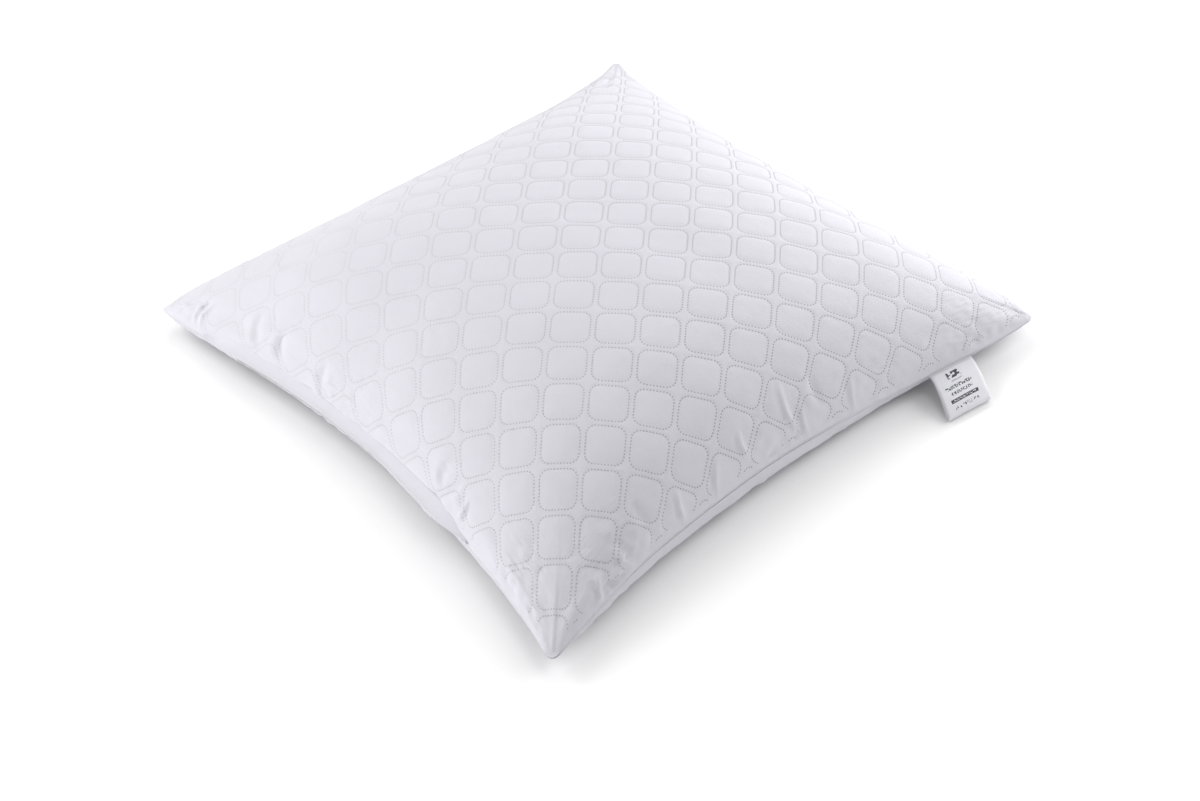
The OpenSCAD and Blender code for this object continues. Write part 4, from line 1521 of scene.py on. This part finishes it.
# ---------------------------------------------------------------------------------------------
# The room
# ---------------------------------------------------------------------------------------------
@dataclass
class Studio:
    """A plain white floor, soft light and the camera."""

    lens: float = 57.96
    azimuth: float = math.radians(50.75)
    elevation: float = math.radians(41.04)
    roll: float = math.radians(-3.03)
    target: tuple[float, float, float] = (0.0941, -0.0694, 0.0)
    distance: float = 2.0069
    sensor: float = 36.0
    aim: tuple[float, float, float] = (0.0, 0.0, 0.05)
    shadow_reach: float = 0.30
    floor_reach: float = 8.0
    lamps: tuple[tuple[str, float, float, float, float], ...] = (
        ("left", 72.0, 35.0, 1.3, 30.0),
        ("front_left", 135.0, 14.0, 1.3, 19.0),
        ("back", 0.0, 52.0, 1.3, 10.0),
        ("back_right", 315.0, 14.0, 1.3, 31.0),
        ("right", 270.0, 35.0, 1.3, 18.5),
        ("above", 225.0, 62.0, 1.3, 8.0))

    def camera(self) -> None:
        """Places the camera by its turn about the target."""
        sin_a, cos_a = math.sin(self.azimuth), math.cos(self.azimuth)
        sin_e, cos_e = math.sin(self.elevation), math.cos(self.elevation)
        back = Vector((sin_a * cos_e, -cos_a * cos_e, sin_e))
        right = Vector((cos_a, sin_a, 0.0))
        up = back.cross(right)
        right_r = right * math.cos(self.roll) + up * math.sin(self.roll)
        up_r = up * math.cos(self.roll) - right * math.sin(self.roll)
        data = bpy.data.cameras.new("camera")
        data.sensor_width = self.sensor
        data.lens = self.lens
        camera = bpy.data.objects.new("camera", data)
        bpy.context.scene.collection.objects.link(camera)
        turn = Matrix((right_r, up_r, back)).transposed().to_4x4()
        camera.matrix_world = Matrix.Translation(Vector(self.target) + back * self.distance) @ turn
        bpy.context.scene.camera = camera

    def area_light(self, name: str, place: Sequence[float], size: float, power: float) -> None:
        """One square soft light, turned towards the pillow's middle."""
        data = bpy.data.lights.new(name, "AREA")
        data.shape = "SQUARE"
        data.size = size
        data.energy = power
        light = bpy.data.objects.new(name, data)
        light.location = place
        light.rotation_euler = (Vector(place) - Vector(self.aim)).to_track_quat("Z", "Y").to_euler()
        bpy.context.scene.collection.objects.link(light)

    def lights(self) -> None:
        """Six large soft lamps round the pillow, in front of a plain white backdrop."""
        world = bpy.data.worlds.new("studio")
        world.use_nodes = True
        sky = world.node_tree.nodes["Background"]
        sky.inputs["Color"].default_value = (1.0, 1.0, 1.0, 1.0)
        bench = NodeBench(world.node_tree)
        seen = bench.add("ShaderNodeLightPath").outputs["Is Camera Ray"]
        bench.tree.links.new(bench.math("MULTIPLY_ADD", seen, 1.0, 0.01), sky.inputs["Strength"])
        bpy.context.scene.world = world
        for name, turn, rise, size, power in self.lamps:
            self.area_light(name, self.lamp_place(turn, rise), size, power)

    def lamp_place(self, turn: float, rise: float, distance: float = 2.2) -> tuple[float, float, float]:
        """A lamp's place by its turn from straight behind the pillow, leftwards, and its height angle."""
        bearing = self.azimuth + math.radians(90.0 + turn)
        flat = distance * math.cos(math.radians(rise))
        return flat * math.cos(bearing), flat * math.sin(bearing), distance * math.sin(math.radians(rise))

    def floor(self) -> bpy.types.Object:
        """The floor, a wide sheet of white paper that glows, with a painted shadow near the pillow."""
        mat = bpy.data.materials.new("floor_paper")
        mat.use_nodes = True
        shader = mat.node_tree.nodes["Principled BSDF"]
        shader.inputs["Base Color"].default_value = (0.93, 0.93, 0.935, 1.0)
        shader.inputs["Roughness"].default_value = 0.9
        shader.inputs["Specular IOR Level"].default_value = 0.1
        shader.inputs["Emission Color"].default_value = (1.0, 1.0, 1.0, 1.0)
        bench = NodeBench(mat.node_tree)
        # painted shadow: ambient occlusion darkens the floor's colour and glow near the pillow
        open_sky = bench.add("ShaderNodeAmbientOcclusion", {"Distance": self.shadow_reach}).outputs["AO"]
        lit = bench.math("POWER", open_sky, 1.35)
        place = bench.add("ShaderNodeTexCoord").outputs["Object"]
        away = bench.add("ShaderNodeVectorMath", {0: place}, operation="LENGTH").outputs["Value"]
        far = bench.add("ShaderNodeMapRange", {"Value": away, "From Min": 1.2, "From Max": 3.0},
                        interpolation_type="SMOOTHSTEP").outputs[0]
        bench.tree.links.new(bench.math("MULTIPLY_ADD", lit, 0.27, far), shader.inputs["Emission Strength"])
        # painted shadow colour where the floor is hemmed in, paper white in the open
        Finish.tinted(bench, shader, (0.74, 0.74, 0.74), (0.93, 0.93, 0.935), lit)
        reach = self.floor_reach
        corners = np.array([[-reach, -reach, 0], [reach, -reach, 0], [reach, reach, 0], [-reach, reach, 0]])
        return new_mesh_object("floor", corners, [(0, 1, 2, 3)], mat)

    def build(self) -> None:
        """Makes the whole room."""
        bpy.context.scene.view_settings.view_transform = "Standard"
        self.camera()
        self.lights()
        self.floor()


# ---------------------------------------------------------------------------------------------
# The pillow
# ---------------------------------------------------------------------------------------------
def fit_piece(piece: bpy.types.Object, body: Body, slot: str, *nodes: str) -> None:
    """Lets a piece ride on a body, hides the nodes it stands for and logs them, or its slot's name if none.
    """
    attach(piece, body.value)
    if nodes:
        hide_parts(*nodes)
    stands_for = ", ".join(nodes) or slot
    log.info("%s: %d faces on %s for %s", piece.name, len(piece.data.polygons), body.value, stands_for)


@dataclass
class Pillow:
    """The whole pillow: quilted cover, inner pillow, zip and label."""

    form: PillowForm = field(default_factory=PillowForm)
    lattice: QuiltLattice = field(default_factory=QuiltLattice)
    fine_cells: int = 400
    plain_cells: int = 256

    def build(self) -> None:
        """Makes every piece."""
        self.cover = InflatedCover(self.form)
        self.cover.make()
        self.row_tree = path_row_tree()
        self.thread = WovenCloth("thread", (0.84, 0.84, 0.86), (0.74, 0.74, 0.76), 0.3 * MM).material()
        self.fabric = QuiltFabric().material()
        self.panels()
        self.layers()
        self.edge()
        self.zip()
        self.label()

    def creases(self) -> tuple[Crease, ...]:
        """The upper panel's single folds, the sharp ones first."""
        sharp = (((0.278, 0.014), (0.335, 0.016)), ((0.312, 0.027), (0.348, 0.033)),
                 ((0.301, -0.053), (0.326, -0.052)), ((0.312, -0.088), (0.342, -0.098)),
                 ((0.312, -0.144), (0.344, -0.144)), ((0.306, 0.098), (0.342, 0.093)),
                 ((0.324, -0.263), (0.346, -0.266)), ((-0.325, -0.331), (-0.286, -0.315)),
                 ((-0.286, -0.312), (-0.290, -0.342)), ((-0.272, -0.308), (-0.280, -0.344)),
                 ((0.154, -0.338), (0.162, -0.310)))
        far = (((-0.276, 0.222), (-0.290, 0.284)), ((-0.296, 0.262), (-0.312, 0.304)))
        soft = (((0.290, -0.192), (0.325, -0.184)), ((0.310, -0.226), (0.340, -0.212)),
                ((0.290, 0.050), (0.320, 0.055)), ((-0.202, -0.290), (-0.185, -0.328)),
                ((-0.160, -0.295), (-0.146, -0.330)), ((-0.088, -0.298), (-0.073, -0.338)),
                ((0.122, -0.296), (0.118, -0.322)), ((0.120, -0.328), (0.146, -0.303)))
        return (*(Crease(a, b, 3.0 * MM, 1.9 * MM) for a, b in sharp),
                *(Crease(a, b, 4.5 * MM, -3.0 * MM) for a, b in far),
                *(Crease(a, b, 6.0 * MM, -1.6 * MM) for a, b in soft))

    def panels(self) -> None:
        """The two quilted panels and their weld points."""
        dot_finish = WeldedDot().material()
        dots = weld_dot_tree()
        for face, cells, seed in ((Face.UPPER, self.fine_cells, 11), (Face.LOWER, self.plain_cells, 23)):
            creases = self.creases() if face is Face.UPPER else ()
            wrinkles = Wrinkles(self.form, seed, creases)
            maker = QuiltedPanel(self.cover, self.lattice, wrinkles, face, cells)
            panel = maker.build(self.fabric)
            outer = np.zeros(len(panel.data.vertices))
            outer[:(cells + 1) ** 2] = 1.0
            add_number(panel, "outer", outer)
            margin = 10.0 * MM if face is Face.UPPER else 24.0 * MM
            name = f"{face.prefix}_weld_dots"
            points = WeldDots(self.lattice, margin).build(dots, panel, name, dot_finish)
            fit_piece(panel, Body.PILLOW, "face_fabric", f"{face.prefix}_face")
            fit_piece(points, Body.PILLOW, "face_fabric")

    def layers(self) -> None:
        """The wadding, the backing, the inner pillow's casing and its filling."""
        wadding = LooseFibre("wadding").material()
        backing = WovenCloth("backing", thread=0.8 * MM).material()
        casing = WovenCloth("casing", thread=0.6 * MM).material()
        fibre = LooseFibre("fibre").material()
        for face in Face:
            name = face.prefix
            rows = [
                (HiddenLayer(self.cover, face, f"{name}_wadding_layer", f"{name}_wadding", "wadding",
                             6.2 * MM, 7.4 * MM, 0.018), wadding),
                (HiddenLayer(self.cover, face, f"{name}_backing_layer", f"{name}_backing", "backing",
                             7.6 * MM, 8.0 * MM, 0.018), backing),
                (HiddenLayer(self.cover, face, f"casing_{name}_layer", f"casing_{name}", "casing",
                             9.4 * MM, 9.9 * MM, 0.022), casing)]
            for layer, material in rows:
                piece = layer.build(material)
                fit_piece(piece, Body.PILLOW, layer.slot, layer.node)
        axis = np.linspace(-1.0, 1.0, 41) * (1.0 - 0.026 / self.form.half)
        core = closed_between("filling", self.cover.beneath(Face.UPPER, axis, axis, 11.0 * MM),
                              self.cover.beneath(Face.LOWER, axis, axis, 11.0 * MM), fibre)
        fit_piece(core, Body.PILLOW, "fibre", "fill_core")

    def edge(self) -> None:
        """The seam allowance between the panels."""
        zipper = HiddenZip(self.cover)
        gap = 11.0 * MM
        half = self.form.half
        cloth = WovenCloth("seam_tape", thread=0.6 * MM).material()
        band = EdgeSeam(self.cover).build((zipper.last + gap) / half, (zipper.first - gap) / half, cloth)
        fit_piece(band, Body.PILLOW, "seam_tape", "edge_seam")

    def zip(self) -> None:
        """The zip's coil, lip, slider and pull tab, and the finish of its tapes."""
        zipper = HiddenZip(self.cover)
        coil = NylonCoil().material()
        metal = EnamelMetal().material()
        tape = WovenCloth("zip_tape", thread=0.7 * MM).material()
        fit_piece(zipper.coil(self.row_tree, True, coil), Body.PILLOW, "zip_coil", "zip_coil_upper")
        fit_piece(zipper.coil(self.row_tree, False, coil), Body.PILLOW, "zip_coil", "zip_coil_lower")
        fit_piece(zipper.lip(self.fabric), Body.PILLOW, "face_fabric", "zip_lip")
        fit_piece(zipper.lip_stitches(self.row_tree, self.thread), Body.PILLOW, "face_fabric")
        for node, name, bevel, body in (("zip_stop_closed", "zip_stop_closed_crimp", 0.25, Body.PILLOW),
                                        ("zip_stop_open", "zip_stop_open_crimp", 0.25, Body.PILLOW),
                                        ("zip_slider", "zip_slider_body", 0.22, Body.SLIDER),
                                        ("zip_pull", "zip_pull_tab", 0.22, Body.PULL)):
            fit_piece(bevelled_node(node, name, bevel * MM, metal), body, "zip_metal", node)
        for node in ("zip_tape_upper", "zip_tape_lower"):
            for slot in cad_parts[node].material_slots:
                slot.material = tape

    def label(self) -> None:
        """The loop label and its sewn-in tail."""
        fields = (
            PrintBox(0.30, 0.62, 0.10, 0.26, 9.0, 0.55), PrintBox(0.34, 0.60, 0.31, 0.345, 60.0, 0.4),
            PrintBox(0.14, 0.76, 0.42, 0.50, 42.0, 0.5), PrintBox(0.22, 0.72, 0.56, 0.63, 42.0, 0.5),
            PrintBox(0.16, 0.80, 0.71, 0.79), PrintBox(0.20, 0.76, 0.87, 0.94, 26.0, 0.25))
        pale = (PrintBox(0.20, 0.76, 0.73, 0.77, 46.0, 0.3),)
        ribbon = SatinRibbon(fields=fields, knocked_out=pale).material()
        label = LoopLabel(self.form)
        loop = label.build(ribbon)
        fit_piece(loop, Body.LABEL, "ribbon", "label_loop")
        plain = WovenCloth("label_tail_ribbon", (0.83, 0.83, 0.85), (0.76, 0.76, 0.78), 0.4 * MM).material()
        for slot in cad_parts["label_tail"].material_slots:
            slot.material = plain


def main() -> None:
    """Builds the pillow and the room."""
    logging.basicConfig(level=logging.INFO, format="%(message)s")
    Pillow().build()
    Studio().build()


if __name__ == "__main__":
    main()
